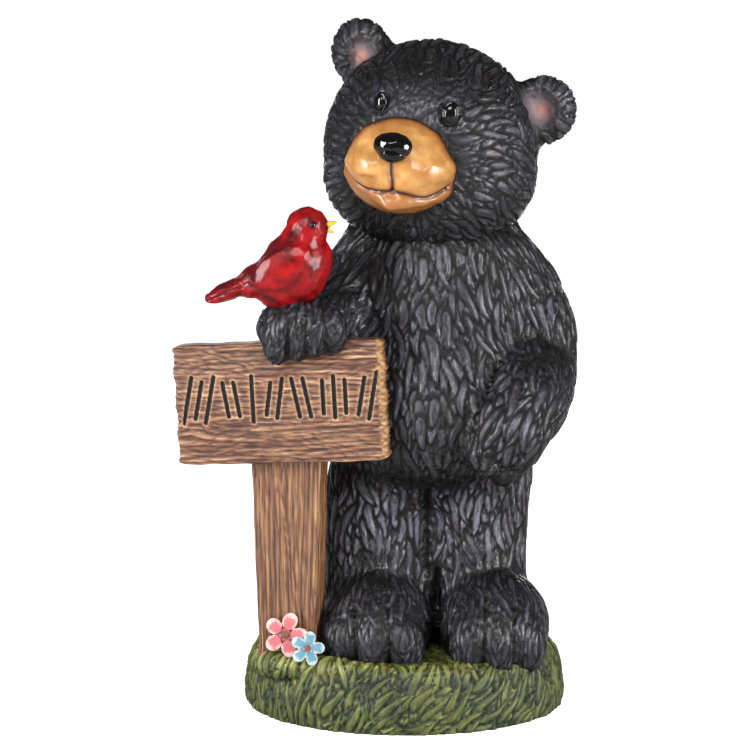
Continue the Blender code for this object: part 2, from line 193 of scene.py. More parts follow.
def local_mean(obj, values, rounds):
    """Values averaged with their neighbours along the edges, a few times over."""
    edges = np.empty(2 * len(obj.data.edges), np.int32)
    obj.data.edges.foreach_get("vertices", edges)
    a, b = edges.reshape(-1, 2).T
    degree = np.bincount(a, minlength=len(values)) + np.bincount(b, minlength=len(values)) + 1.0
    for _ in range(rounds):
        total = values.copy()
        total += np.bincount(a, weights=values[b], minlength=len(values))
        total += np.bincount(b, weights=values[a], minlength=len(values))
        values = total / degree
    return values


# %% Where two forms meet
def shade_round(obj, other, reach):
    """Painted shade where one form meets another: near the other's surface it is 1."""
    points, _ = read_points(obj)
    low = np.min(read_points(other)[0], axis=0) - reach
    high = np.max(read_points(other)[0], axis=0) + reach
    shade = np.zeros(len(points))
    for i in np.flatnonzero(np.all((points > low) & (points < high), axis=1)):
        hit, near, _, _ = other.closest_point_on_mesh(Vector(points[i]), distance=2 * reach)
        if hit:
            shade[i] = math.exp(-((near - Vector(points[i])).length / reach) ** 2)
    return shade


def folds(obj, depth):
    """Where the skin folds inwards, from 0 on the flat to 1 in a tight crease."""
    points, normals = read_points(obj)
    mean = np.column_stack([local_mean(obj, axis, 8) for axis in points.T])
    return np.clip(np.sum((mean - points) * normals, axis=1) / depth, 0, 1)


# %% [markdown]
# ## The combed coat
# On the real bear each lock of fur is one stroke of a sculpting tool: a leaf about 5 mm wide and
# 25 mm long with a cut round it, laid over the one before. It could be a displacement texture, but
# a texture can't lay leaves along a coat that is combed. So each lock is pressed into the mesh on its
# own: it looks up the way the coat lies, draws a bent leaf along it, covers what was there, and cuts
# a ditch round itself. Beside the height it leaves painted values: how near a point is to its lock's
# ridge, how far it is across and along the lock, and which lock it is. The paint reads them later.


# %% Press leaves into a skin
def lay_leaves(obj, flow, length, width, depth, seed, size=None, fine=None, wobble=0.25, tip=0.25,
               ditch_width=0.8):
    """Leaves along a flow. Size scales them at each point, 0 is bare; fine makes them slim and shallow."""
    dice = np.random.default_rng(seed)
    points, normals = read_points(obj)
    count = len(points)
    size = np.ones(count) if size is None else size
    fine = np.zeros(count) if fine is None else fine
    along_all = unit(flow - np.sum(flow * normals, axis=1, keepdims=True) * normals)
    tree = tree_of(points)
    rise, body, comb = np.zeros(count), np.zeros(count), np.zeros((count, 3))
    taken = size < 0.15
    leaves = 0
    for i in dice.permutation(count):
        if taken[i]:
            continue
        leaves += 1
        lean, bend, sway, long, broad, high = dice.uniform(
            (-wobble, -0.17, -0.07, 0.75, 0.8, 0.7), (wobble, 0.17, 0.07, 1.3, 1.25, 1.0))
        sideways = np.cross(normals[i], along_all[i])
        along = math.cos(lean) * along_all[i] + math.sin(lean) * sideways
        across = np.cross(normals[i], along)
        reach = length * size[i] * long * (1 - 0.1 * fine[i])
        wide = width * (0.45 + 0.55 * size[i]) * broad * (1 - 0.45 * fine[i])
        lift = depth * (0.35 + 0.65 * size[i]) * high * (1 - 0.5 * fine[i])
        near = np.array([n for _, n, _ in tree.find_range(points[i], 0.64 * reach)])
        offset = points[near] - points[i]
        t = offset @ along / (0.5 * reach)
        side = offset @ across - bend * reach * (t * t - 0.3) - sway * reach * np.sin(2.6 * t)
        half = 0.5 * wide * (1 - tip * t)
        out = (side / half) ** 2 + np.abs(t) ** 2.6
        out[np.abs(offset @ normals[i]) > 0.35 * reach] = 9
        inside, moat = out < 1, (out >= 1) & (out < 1 + ditch_width)
        dome = np.sqrt(np.clip(1 - out ** 2.2, 0, 1))
        leaf, ditch = near[inside], near[moat]
        rise[leaf] = lift * (dome * (0.75 + 0.25 * t))[inside]
        body[leaf] = np.clip(1.25 * (1 - out[inside]), 0, 1)
        which = np.full(len(leaf), dice.uniform())
        comb[leaf] = np.column_stack((side[inside] / MM, t[inside] * reach / MM, which))
        depth_left = (out[moat] - 1) / ditch_width
        rise[ditch] = rise[ditch] * depth_left - 0.25 * lift * (1 - depth_left)
        body[ditch] *= depth_left
        taken[near[(t / 0.85) ** 2 + (side / half / 1.3) ** 2 < 1]] = True
        taken[i] = True
    rise = 0.55 * rise + 0.45 * local_mean(obj, rise, 1)
    sink = local_mean(obj, (size > 0.15) * 0.55 * depth * (0.35 + 0.65 * size) * (1 - 0.5 * fine), 8)
    write_points(obj, points + (rise - sink)[:, None] * normals)
    paint_values(obj, "relief", (rise - local_mean(obj, rise, 6)) / depth)
    paint_values(obj, "body", np.where(size > 0.15, body, 0.75))
    paint_values(obj, "comb", comb)
    print(obj.name, "has", leaves, "leaves")


# %% [markdown]
# ## Which way the coat lies
# A comb mark is a place on the bear and a direction. Every corner of the mesh blends the marks near
# it, so the coat turns smoothly from one to the next: outwards from the face, down the chest and legs,
# forwards over the feet and down the fingers.

# %% Comb marks
COMB = (
    ((-22, -66, 336), (-0.1, 0.1, 1), 22), ((-10, -50, 352), (0, 0.5, 1), 26),
    ((0, 0, 370), (0.3, 1, 0.1), 34), ((0, 50, 310), (0, 0, -1), 40), ((30, -58, 318), (1, 0.3, 0.15), 24),
    ((40, -50, 300), (1, 0.3, -0.45), 26), ((-56, -40, 315), (-1, 0.4, 0.1), 24),
    ((-58, -38, 295), (-1, 0.4, -0.6), 26), ((55, -20, 345), (0.3, 0.6, 1), 20),
    ((-45, -10, 350), (-0.4, 0.6, 1), 20), ((38, -48, 272), (0.8, 0.3, -1), 26),
    ((-48, -42, 270), (-0.7, 0.3, -1), 26), ((-10, -60, 268), (0.1, 0, -1), 26),
    ((62, 5, 300), (0.2, 1, -0.6), 30), ((-64, 5, 300), (-0.2, 1, -0.6), 30),
    ((0, -50, 250), (0, 0, -1), 20), ((38, -42, 215), (0.55, 0, -1), 28),
    ((-32, -48, 215), (-0.75, 0, -1), 26), ((8, -52, 225), (0.05, 0, -1), 22),
    ((5, -62, 175), (0.15, 0, -1), 34), ((-8, -62, 140), (-0.3, 0, -1), 26),
    ((30, -60, 180), (0.4, 0, -1), 26), ((20, -58, 120), (0, 0.2, -1), 28), ((0, 60, 200), (0, 0, -1), 50),
    ((0, 60, 130), (0, -0.2, -1), 40), ((85, 0, 215), (0.15, -0.1, -1), 30),
    ((86, -5, 180), (-0.1, -0.5, -1), 28), ((76, -38, 165), (-1, -0.4, -0.65), 22),
    ((55, -62, 150), (-1, -0.2, -0.6), 22), ((42, -70, 138), (-0.8, 0, -0.9), 20),
    ((-60, -20, 228), (-0.6, -1, -0.3), 24), ((-78, -62, 226), (-0.2, -1, -0.1), 18),
    ((-80, -86, 206), (0, -0.1, -1), 22), ((-100, -64, 205), (-0.3, 0, -1), 18),
    ((30, 0, 85), (0, 0, -1), 40), ((-34, 0, 85), (0, 0, -1), 40), ((35, -42, 46), (0.1, -1, -0.5), 20),
    ((-35, -42, 46), (-0.1, -1, -0.5), 20), ((35, -66, 16), (0, -0.15, -1), 24),
    ((-35, -66, 16), (0, -0.15, -1), 24), ((68, -20, 22), (0.4, -0.4, -1), 24),
    ((-68, -20, 22), (-0.4, -0.4, -1), 24),
)


def combed(points):
    way = np.zeros_like(points)
    for mark, direction, reach in COMB:
        away = np.linalg.norm(points - np.array(on_bear(*mark)), axis=1) / (reach * BEAR_MM)
        way += np.exp(-0.5 * away * away)[:, None] * unit(np.array(direction, float))
    return way + np.array((0, 0, -1e-4))


# %% [markdown]
# ## Knife facets and cut lines
# The smooth parts of the real casting keep the flat little planes of the carving knife. To cut them,
# the skin is shared out between scattered seeds and each share is pressed towards its seed's own
# plane. A cut line is pressed in along a path: the nearer a corner is to the path, the deeper it goes.


# %% Facets
def cut_facets(obj, size, strength, seed):
    dice = np.random.default_rng(seed)
    points, normals = read_points(obj)
    tree = tree_of(points)
    seeds = []
    taken = np.zeros(len(points), bool)
    for i in dice.permutation(len(points)):
        if not taken[i]:
            seeds.append(i)
            taken[[n for _, n, _ in tree.find_range(points[i], 0.62 * size)]] = True
    seed_tree = tree_of(points[seeds])
    owner = np.array([seeds[seed_tree.find(point)[1]] for point in points])
    gap = np.sum((points[owner] - points) * normals[owner], axis=1)
    gap = np.clip(gap, -0.12 * size, 0.12 * size) * strength
    write_points(obj, points + gap[:, None] * normals[owner])


# %% Cut lines
def distance_to_path(points, path):
    nearest = np.full(len(points), 1e9)
    for start, end in zip(path, path[1:]):
        start, run = np.array(start), np.array(end) - np.array(start)
        t = np.clip((points - start) @ run / max(run @ run, 1e-12), 0, 1)
        nearest = np.minimum(nearest, np.linalg.norm(points - start - t[:, None] * run, axis=1))
    return nearest


def smooth_path(marks):
    """A curve through the marks, with a few steps between each pair."""
    steps = 6
    marks = [Vector(m) for m in marks]
    marks = [2 * marks[0] - marks[1], *marks, 2 * marks[-1] - marks[-2]]
    path = []
    for a, b, c, d in zip(marks, marks[1:], marks[2:], marks[3:]):
        for i in range(steps):
            t = i / steps
            path.append(0.5 * (2 * b + (c - a) * t + (2 * a - 5 * b + 4 * c - d) * t * t
                               + (3 * b - a - 3 * c + d) * t ** 3))
    return path + [marks[-2]]


def from_front(obj, path):
    """Drops a path onto a skin, as seen from the front. A point that misses goes to the nearest place."""
    dropped = []
    for point in path:
        hit, place, _, _ = obj.ray_cast(Vector((point.x, -0.5, point.z)), Vector((0, 1, 0)))
        dropped.append(place if hit else obj.closest_point_on_mesh(point)[1])
    return dropped


def cut_line(obj, marks, width, depth, drop=True):
    """Presses a line into a skin and returns how much each corner belongs to it."""
    points, normals = read_points(obj)
    path = smooth_path(marks)
    path = from_front(obj, path) if drop else [obj.closest_point_on_mesh(p)[1] for p in path]
    away = distance_to_path(points, path) / (0.5 * width)
    write_points(obj, points - depth * np.exp(-away * away)[:, None] * normals)
    return np.exp(-(away / 1.6) ** 2)


def cut_lines(obj, lines):
    """Lines given as marks in the bear's millimetres, a width and a depth. Returns their shade."""
    shade = np.zeros(len(obj.data.vertices))
    for marks, width, depth in lines:
        shade = np.maximum(shade, cut_line(obj, [on_bear(*m) for m in marks], width * MM, depth * MM))
    return shade


# %% [markdown]
# ## The head
# The head is a large ball for the skull, tipped to one side, one for the cheeks and a flat one behind
# the muzzle. The ears are flat discs with a hollowed front. The coat is fine and flat round the muzzle
# and eyes and long at the back, and each ear has a ring of tufts that points outwards, so two more sets
# of directions are mixed in there.

# %% Head form
HEAD_CELL = 1.0 * MM
EARS = (((-45.6, -8, 363.5), (-44, 4, 364), 10.5), ((60, -22, 332), (63, -10, 331), 12.5))
EYES = (((-32, -57.5, 337), (4.3, 3.2, 6.2), (0, 6, -34)), ((7.6, -65, 331), (5.2, 3.6, 7.4), (0, 8, 4)))
MUZZLE_MIDDLE = (-20, -54, 297)


def head_form():
    bm = bmesh.new()
    bear_ball(bm, -3, -10, 309, (64.5, 57, 64), (0, 13, 0))
    bear_ball(bm, -3, -12, 293, (64, 52, 46))
    bear_ball(bm, -20, -52, 312, (33, 14, 30))
    ear_shapes = (((20.5, 10.5, 22), (8, 0, -22)), ((21.5, 10.5, 21.5), (8, 18, 6)))
    for (_, middle, _), (radii, turn) in zip(EARS, ear_shapes):
        bear_ball(bm, *middle, radii, turn)
    bear_ball(bm, -38, 2, 350, (15, 12, 14))
    bear_ball(bm, 52, -6, 327, (15, 12, 14))
    head = add_object("bear_head", bm)
    fuse(head, 2.4 * MM, 5)
    fuse(head, HEAD_CELL, 6)
    return head


head = head_form()
print("the head has", faces_of(head), "triangles")


# %% Hollow the ears and set the eye sockets
def hollow_ears(obj):
    points, normals = read_points(obj)
    lining = np.zeros(len(points))
    for front, _, radius in EARS:
        centre = np.array(on_bear(*front))
        flat = np.linalg.norm((points - centre)[:, [0, 2]], axis=1) / (radius * BEAR_MM)
        facing = (np.abs(points[:, 1] - centre[1]) < 0.5 * radius * BEAR_MM) & (normals[:, 1] < -0.3)
        dish = np.where(facing, np.clip(1 - flat ** 2.5, 0, 1), 0)
        points[:, 1] += 7.5 * BEAR_MM * dish
        lining = np.maximum(lining, np.where(facing, np.exp(-(flat / 0.95) ** 4), 0))
    write_points(obj, points)
    return lining


def set_sockets(obj):
    points, normals = read_points(obj)
    socket = np.zeros(len(points))
    for place, radii, _ in EYES:
        offset = (points - np.array(on_bear(*place))) / (BEAR_MM * np.array(radii))
        away = np.linalg.norm(offset * np.array((1, 0.45, 1)), axis=1)
        socket = np.maximum(socket, np.exp(-(away / 1.5) ** 4))
        press = 1.6 * np.exp(-(away / 1.1) ** 4) - 0.9 * np.exp(-((away - 1.55) / 0.3) ** 2)
        points -= (press * BEAR_MM)[:, None] * normals
    write_points(obj, points)
    return socket


lining = hollow_ears(head)
sockets = set_sockets(head)


# %% Comb and carve the head
def radial(points, centre, reach):
    """Directions away from a centre and how strongly they hold."""
    offset = points - np.array(on_bear(*centre))
    away = np.linalg.norm(offset, axis=1) / (reach * BEAR_MM)
    return unit(offset), np.exp(-away ** 4)


def comb_head(obj):
    points, _ = read_points(obj)
    flow = unit(combed(points))
    for centre, reach, weight in ((MUZZLE_MIDDLE, 66, 1.2), *((front, 24, 3.0) for front, _, _ in EARS)):
        outwards, hold = radial(points, centre, reach)
        flow += weight * hold[:, None] * outwards
    return flow


def head_size(obj):
    points, _ = read_points(obj)
    calm = nearness(points, [((-22, -62, 328), 18, 0.95), ((-12, -62, 340), 16, 1.0),
                             ((8, -60, 343), 12, 0.85), ((-20, -60, 300), 37, 0.6),
                             ((8, -62, 318), 12, 0.4)])
    ears = nearness(points, [(front, radius + 9, 0.45) for front, _, radius in EARS])
    cheeks = nearness(points, [((30, -56, 305), 34, 0.28), ((-54, -42, 305), 26, 0.3)])
    size = (1 - 0.9 * calm) * (1 - ears) * (1 - cheeks)
    return size * (1 - np.clip(1.3 * lining, 0, 1)) * (1 - sockets)


lay_leaves(head, comb_head(head), 25 * MM, 5.8 * MM, 2.4 * MM, seed=11, size=head_size(head))

# %% [markdown]
# ## The body
# The torso, arms and legs melt into one pear-shaped mass first, with a lot of smoothing, so that the
# shoulders flow. The feet, fingers and tail are pressed on afterwards and keep their creases. One
# coat is combed over the whole, and then the mesh is parted under the belly into an upper and a
# lower piece, only to keep each one light.

# %% Body form
BODY_CELL = 1.08 * MM


def soft_masses():
    bm = bmesh.new()
    bear_ball(bm, 1, 3, 168, (63, 56, 80))
    bear_ball(bm, 1, -8, 152, (59, 55, 54))
    bear_ball(bm, 1, 0, 212, (59, 51, 54))
    bear_ball(bm, 0, 0, 243, (62, 44, 32))
    bear_ball(bm, -1, 7, 267, (50, 45, 29))
    bear_ball(bm, 1, 26, 128, (51, 41, 48))
    limb(bm, [(28, 6, 116, 34), (27, 6, 85, 31), (27, 5, 50, 30), (28, 4, 16, 30)])
    limb(bm, [(-31, 6, 116, 34), (-36, 6, 85, 33), (-38, 5, 50, 33), (-38, 4, 16, 33)])
    limb(bm, [(-4.5, 6, 110, 22), (-4.5, 8, 80, 21), (-4.5, 8, 50, 20), (-4.5, 8, 16, 20)])
    limb(bm, [(50, 5, 226, 25), (61, 1, 200, 26), (63, -5, 170, 24), (56, -24, 158, 26)])
    limb(bm, [(-46, 4, 228, 26), (-58, -16, 212, 23), (-68, -38, 204, 21), (-76, -54, 206, 20)])
    masses = add_object("bear_body", bm)
    fuse(masses, 3.4 * MM, 34)
    return masses


TOES = ((-57, -42, 12), (-37, -50, 12.5), (-18, -49, 12.5), (20.5, -50, 12.5), (38, -50, 13), (56, -42, 12))
FINGERS = (((-92, -70, 201), (8.6, 9.5, 16)), ((-79.8, -73, 202), (6.4, 9, 14.5)),
           ((-69.3, -73, 204), (6.4, 9, 14.5)), ((-58, -70, 206), (7, 9, 14)))


def feet(bm):
    for x, turn in ((-35.5, 3), (36, -5)):
        bear_ball(bm, x, -20, 21, (34, 45, 31), (0, 0, turn))
        bear_ball(bm, x, -20, 30, (29, 36, 25), (0, 0, turn))
    for x, y, wide in TOES:
        bear_ball(bm, x, y, 15, (wide, 15.5, 20), (14, 0, 0))


def paws(bm):
    limb(bm, [(58, -22, 170, 26), (53, -40, 160, 26), (43, -53, 147, 24), (42, -53, 140, 22)])
    for x, y, z in ((30, -58, 147), (30, -61, 138), (36, -60, 130), (45, -56, 124)):
        bear_ball(bm, x, y, z, (15, 12, 8), (0, -40, 12))
    bear_ball(bm, -78, -62, 208, (27, 21, 18))
    for middle, radii in FINGERS:
        bear_ball(bm, *middle, radii, (12, 0, 0))


def body_form():
    masses = soft_masses()
    bm = bmesh.new()
    bm.from_mesh(masses.data)
    bear_ball(bm, 1, 64, 112, (14, 14, 15))
    feet(bm)
    paws(bm)
    bm.to_mesh(masses.data)
    bm.free()
    fuse(masses, 2.4 * MM, 4)
    fuse(masses, BODY_CELL, 5)
    return masses


body = body_form()
print("the body has", faces_of(body), "triangles")


# %% Creases of the limbs
BODY_CREASES = (
    (((1.2, -70, 6), (1.2, -70, 22), (1.2, -66, 38), (1.4, -50, 52)), 4, 5),
    (((-4.6, -40, 106), (-4.6, -32, 92), (-4.5, -30, 50)), 5, 3),
    (((-47, -60, 4), (-47, -60, 22), (-48.5, -52, 40)), 2.6, 1.9),
    (((-27, -66, 4), (-27, -66, 22), (-28, -58, 40)), 2.6, 1.9),
    (((-7, -62, 4), (-7, -62, 20), (-9, -52, 32)), 2.4, 1.0),
    (((9.5, -62, 4), (9.5, -62, 20), (10.5, -52, 32)), 2.4, 1.0),
    (((29, -66, 4), (29, -66, 22), (29.5, -58, 40)), 2.6, 1.9),
    (((47, -60, 4), (47, -60, 22), (47.5, -52, 40)), 2.6, 1.9),
    (((-85.5, -78, 190), (-85.2, -78, 204), (-84, -76, 215)), 2.6, 2.4),
    (((-74.8, -78, 192), (-74.8, -78, 204), (-74.4, -76, 214)), 2.4, 1.6),
    (((-63.6, -78, 196), (-63.6, -78, 206), (-63.4, -76, 214)), 2.4, 1.6),
    (((38, -62, 186), (27, -64, 164), (20.5, -66, 152), (26, -66, 138), (37, -64, 128), (54, -50, 121)),
     4.5, 1.6),
    (((-54, -35, 117), (-37, -38, 114), (-21, -40, 113), (-3, -40, 112), (15, -40, 114), (36, -36, 118)),
     9, 0.4),
)
# Painted shade in the creases cut here, in the folds and on the chest under the head.
body_shade = cut_lines(body, BODY_CREASES)
body_folds = folds(body, 0.3 * MM)
body_size = (1 - 0.7 * body_shade) * (1 - 0.6 * body_folds)
fingertips = [((x, y - 8, z - 8), 13, 0.45) for (x, y, z), _ in FINGERS]
body_size *= 1 - nearness(read_points(body)[0], fingertips)
body_shade = np.maximum(body_shade, 0.85 * shade_round(body, head, 7 * MM))
body_shade = np.maximum(body_shade, 0.6 * body_folds)


# %% Comb and carve the body
def body_fineness(obj):
    """Where the locks are thin strands: over toes and fingers, and a little on the insteps and wrists."""
    points, _ = read_points(obj)
    toes = [((x, y - 12, 16), 19, 0.95) for x, y, _ in TOES]
    fingers = [((x, y - 8, z), 15, 0.95) for (x, y, z), _ in FINGERS]
    wrists = [((72, -34, 176), 24, 0.6), ((-74, -46, 222), 20, 0.7)]
    insteps = [((x, -34, 48), 24, 0.75) for x in (-36, 36)]
    return nearness(points, [*toes, *fingers, *wrists, *insteps])


lay_leaves(body, combed(read_points(body)[0]), 26 * MM, 5.3 * MM, 2.5 * MM, seed=7, size=body_size,
           fine=body_fineness(body), wobble=0.3)
paint_values(body, "shade", body_shade)


# %% Part the body under the belly
def part_at(obj, name, height, keep_above):
    bm = bmesh.new()
    bm.from_mesh(obj.data)
    geom = bm.verts[:] + bm.edges[:] + bm.faces[:]
    bmesh.ops.bisect_plane(bm, geom=geom, plane_co=(0, 0, height), plane_no=(0, 0, 1),
                           clear_inner=keep_above, clear_outer=not keep_above)
    rim = [e for e in bm.edges if e.is_boundary]
    bmesh.ops.contextual_create(bm, geom=rim)
    bmesh.ops.triangulate(bm, faces=[f for f in bm.faces if len(f.verts) > 4])
    return add_object(name, bm)


WAIST = on_bear(0, 0, 126).z
upper = part_at(body, "bear_torso", WAIST, keep_above=True)
lower = part_at(body, "bear_legs", WAIST, keep_above=False)
bpy.data.objects.remove(body)
print("torso and legs have", faces_of(upper), "and", faces_of(lower), "triangles")

# %% [markdown]
# ## The muzzle
# The muzzle is a rounded shield with two lobes over a pointed lower lip. It is the one smooth part of
# the face, so its knife facets show, and the mouth and the cleft are cut in as lines.

# %% Muzzle form
MUZZLE_CELL = 0.9 * MM
MOUTH = (
    (-52.5, -60, 301), (-49.8, -84, 296.2), (-45.3, -84, 291.1), (-39.7, -84, 288.3), (-32.3, -84, 287.2),
    (-25.5, -84, 287.2), (-19.3, -84, 286.1), (-8.6, -84, 283.5), (-1.8, -84, 284.7), (6.5, -84, 289.5),
)
CLEFT = (
    (-26.1, -90, 306), (-26.1, -90, 300.6), (-25.8, -90, 296.1), (-25.5, -90, 291.6), (-25.5, -90, 287.7),
)
LOWER_LIP = ((-50, -58, 297, 4), (-39, -69, 290, 4), (-27, -77, 280, 3.8), (-18, -76, 281.6, 4),
             (-9, -72, 282.2, 4.2), (2, -66, 285.2, 4.2), (11, -56, 291, 4))


def muzzle_form():
    bm = bmesh.new()
    bear_ball(bm, -20, -51, 299, (33.5, 33, 26.5), (0, 6, -12))
    bear_ball(bm, -20.5, -54, 306, (30.5, 31, 24.3), (0, 6, -12))
    bear_ball(bm, -37, -63, 302, (16, 22, 12.5), (0, 16, 8))
    bear_ball(bm, -9, -63, 299.5, (20.5, 23, 14), (0, 2, -16))
    bear_ball(bm, -15, -52, 288.5, (20, 22, 8.5), (4, 2, -12))
    limb(bm, LOWER_LIP)
    muzzle = add_object("muzzle", bm)
    fuse(muzzle, 1.6 * MM, 7)
    fuse(muzzle, MUZZLE_CELL, 4)
    return muzzle


muzzle = muzzle_form()
cut_facets(muzzle, 13 * MM, 0.5, seed=4)
fuse(muzzle, MUZZLE_CELL, 5)
muzzle_cuts = cut_lines(muzzle, ((MOUTH, 2.6, 1.5), (CLEFT, 2.6, 1.6)))


# %% Shade the muzzle towards the fur and the mouth
def muzzle_values(obj):
    points, _ = read_points(obj)
    edge = np.zeros(len(points))
    for i, point in enumerate(points):
        _, near, normal, _ = head.closest_point_on_mesh(Vector(point))
        edge[i] = (Vector(point) - near).dot(normal)
    # Edge is 1 where the muzzle meets the fur; the paint darkens it there, partly paint and partly painted
    # shade.
    paint_values(obj, "edge", np.clip(1 - edge / (11 * MM), 0, 1) ** 2)
    paint_values(obj, "cut", muzzle_cuts)
    mouth = np.array([on_bear(*mark) for mark in MOUTH])
    below = np.interp(points[:, 0], mouth[:, 0], mouth[:, 2]) - points[:, 2]
    paint_values(obj, "lip", np.clip(below / (3 * MM), 0, 1))


muzzle_values(muzzle)
print("the muzzle has", faces_of(muzzle), "triangles")

# %% [markdown]
# ## Nose and eyes
# Both are drops of gloss black over a modelled form. The nose is a rounded triangle with knife
# facets. Each eye is a dome with a fine cut round it, which makes the rim of the lid.


# %% Nose and eyes
def nose_form():
    bm = bmesh.new()
    bear_ball(bm, -25, -84.5, 314, (11.2, 7.6, 7.3), (14, 6, -12))
    bear_ball(bm, -25.1, -85.2, 310, (8.2, 6.6, 5.7), (10, 4, -12))
    nose = add_object("nose", bm)
    fuse(nose, 0.6 * MM, 6)
    cut_facets(nose, 4.5 * MM, 0.8, seed=3)
    return nose


def eye_form(name, place, radii, turn):
    bm = bmesh.new()
    bmesh.ops.create_uvsphere(bm, u_segments=40, v_segments=24, radius=1.0)
    bmesh.ops.rotate(bm, verts=bm.verts, cent=(0, 0, 0), matrix=Matrix.Rotation(math.pi / 2, 3, "X"))
    for v in bm.verts:
        ring = math.hypot(v.co.x, v.co.z)
        if v.co.y < 0:
            v.co.y += 0.22 * math.exp(-((ring - 0.80) / 0.07) ** 2)
    turn = Euler(map(math.radians, turn))
    placed = Matrix.LocRotScale(on_bear(*place), turn, BEAR_MM * Vector(radii))
    bmesh.ops.transform(bm, matrix=placed, verts=bm.verts)
    bmesh.ops.recalc_face_normals(bm, faces=bm.faces)
    return add_object(name, bm)


nose = nose_form()
eyes = [eye_form(name, *eye) for name, eye in zip(("left_eye", "right_eye"), EYES)]

# %% [markdown]
# ## The sign
# Board and post are one pattern of raised grain in two directions. A plank starts as a cube whose
# edges are cut into a fine grid. The grain is a row of rounded ridges about 3 mm apart whose lines
# wander, part and meet, and each end is worn back between the ridges. The board's row of cut strokes
# spells nothing. Each has a smooth band round it, as on the real board, where the tool went first.

# %% Grain
BOARD_SIZE = Vector((127, 14, 72))
POST_TOP, POST_FOOT, POST_DEEP = 46, 35, 27
SIGN_YAW, SIGN_ROLL = math.radians(-8), math.radians(-3)
SIGN_TOP = on_bear(-90, -55, 199)


def wander(a, b):
    return np.sin(2.1 * a + 1.3 * np.sin(0.9 * b)) * np.cos(1.7 * b + 0.8 * np.sin(1.1 * a))


def grain(along, across, pitch, knots=()):
    """Height of the grain from 0 to 1, from millimetres along and across it."""
    line = across + 1.5 * wander(along / 40, across / 12) + 0.45 * wander(along / 17, across / 5)
    for u, v, strength in knots:
        away = np.exp(-((along - u) / 13) ** 2 - ((across - v) / 5) ** 2)
        line += strength * away * np.sign(across - v) * 2.2
    ridge = np.abs(np.sin(math.pi * line / pitch)) ** 0.75
    breaks = 0.62 + 0.38 * wander(along / 30, line / pitch * 1.9)
    fine = np.abs(np.sin(math.pi * line / (0.31 * pitch) + 1.2 * wander(along / 9, across / 3)))
    return np.clip(0.72 * ridge * breaks + 0.28 * fine, 0, 1)


def fine_block(name, size, cuts):
    bm = bmesh.new()
    bmesh.ops.create_cube(bm, size=1.0, matrix=Matrix.Diagonal((*size, 1)))
    for axis in range(3):
        run = Vector((axis == 0, axis == 1, axis == 2))
        edges = [e for e in bm.edges if abs((e.verts[0].co - e.verts[1].co).normalized().dot(run)) > 0.99]
        bmesh.ops.subdivide_edges(bm, edges=edges, cuts=cuts[axis], use_grid_fill=True)
    return add_object(name, bm)


def round_block(points, size, radius):
    """Rounds a block's edges: outside the inner box each point is drawn in to the radius."""
    inner = np.clip(points, -np.array(size) / 2 + radius, np.array(size) / 2 - radius)
    offset = points - inner
    away = np.maximum(np.linalg.norm(offset, axis=1, keepdims=True), 1e-9)
    return np.where(away > radius, inner + offset / away * radius, points)


# %% Sign board
STROKES = ((3, 13, (1.0, 0.8, 1.0)), (2, -8, (0.74, 0.74)), (1, 0, (1.0,)), (2, 10, (0.7, 0.86)),
           (2, -10, (0.84, 0.84)), (3, 0, (0.72, 0.9, 0.72)), (2, 12, (0.8, 1.0)))
STROKE_TALL, STROKE_PITCH, STROKE_RUN = 27, 6.6, 119.4
KNOTS = ((-52, -14, 1.4), (48, -10, 1.2), (-56, 24, 0.8))
BOARD_PITCH, POST_PITCH = 3.1, 2.8
BOARD_ROUNDING, POST_ROUNDING = 1.6, 2.0
STROKE_HALF, BAND_HALF = 1.3, 2.3
BEVEL_START = 57.5


def stroke_lines():
    """Start and end of each cut stroke on the board's front, in millimetres from its middle."""
    filled = sum((count - 1) * STROKE_PITCH for count, _, _ in STROKES)
    gap = (STROKE_RUN - filled) / len(STROKES)
    x = -STROKE_RUN / 2 + gap / 2
    for count, lean, shares in STROKES:
        for share in shares:
            half = 0.5 * share * STROKE_TALL
            slip = math.tan(math.radians(lean)) * half
            yield (x - slip, 2.9 - half), (x + slip, 2.9 + half)
            x += STROKE_PITCH
        x += gap - STROKE_PITCH


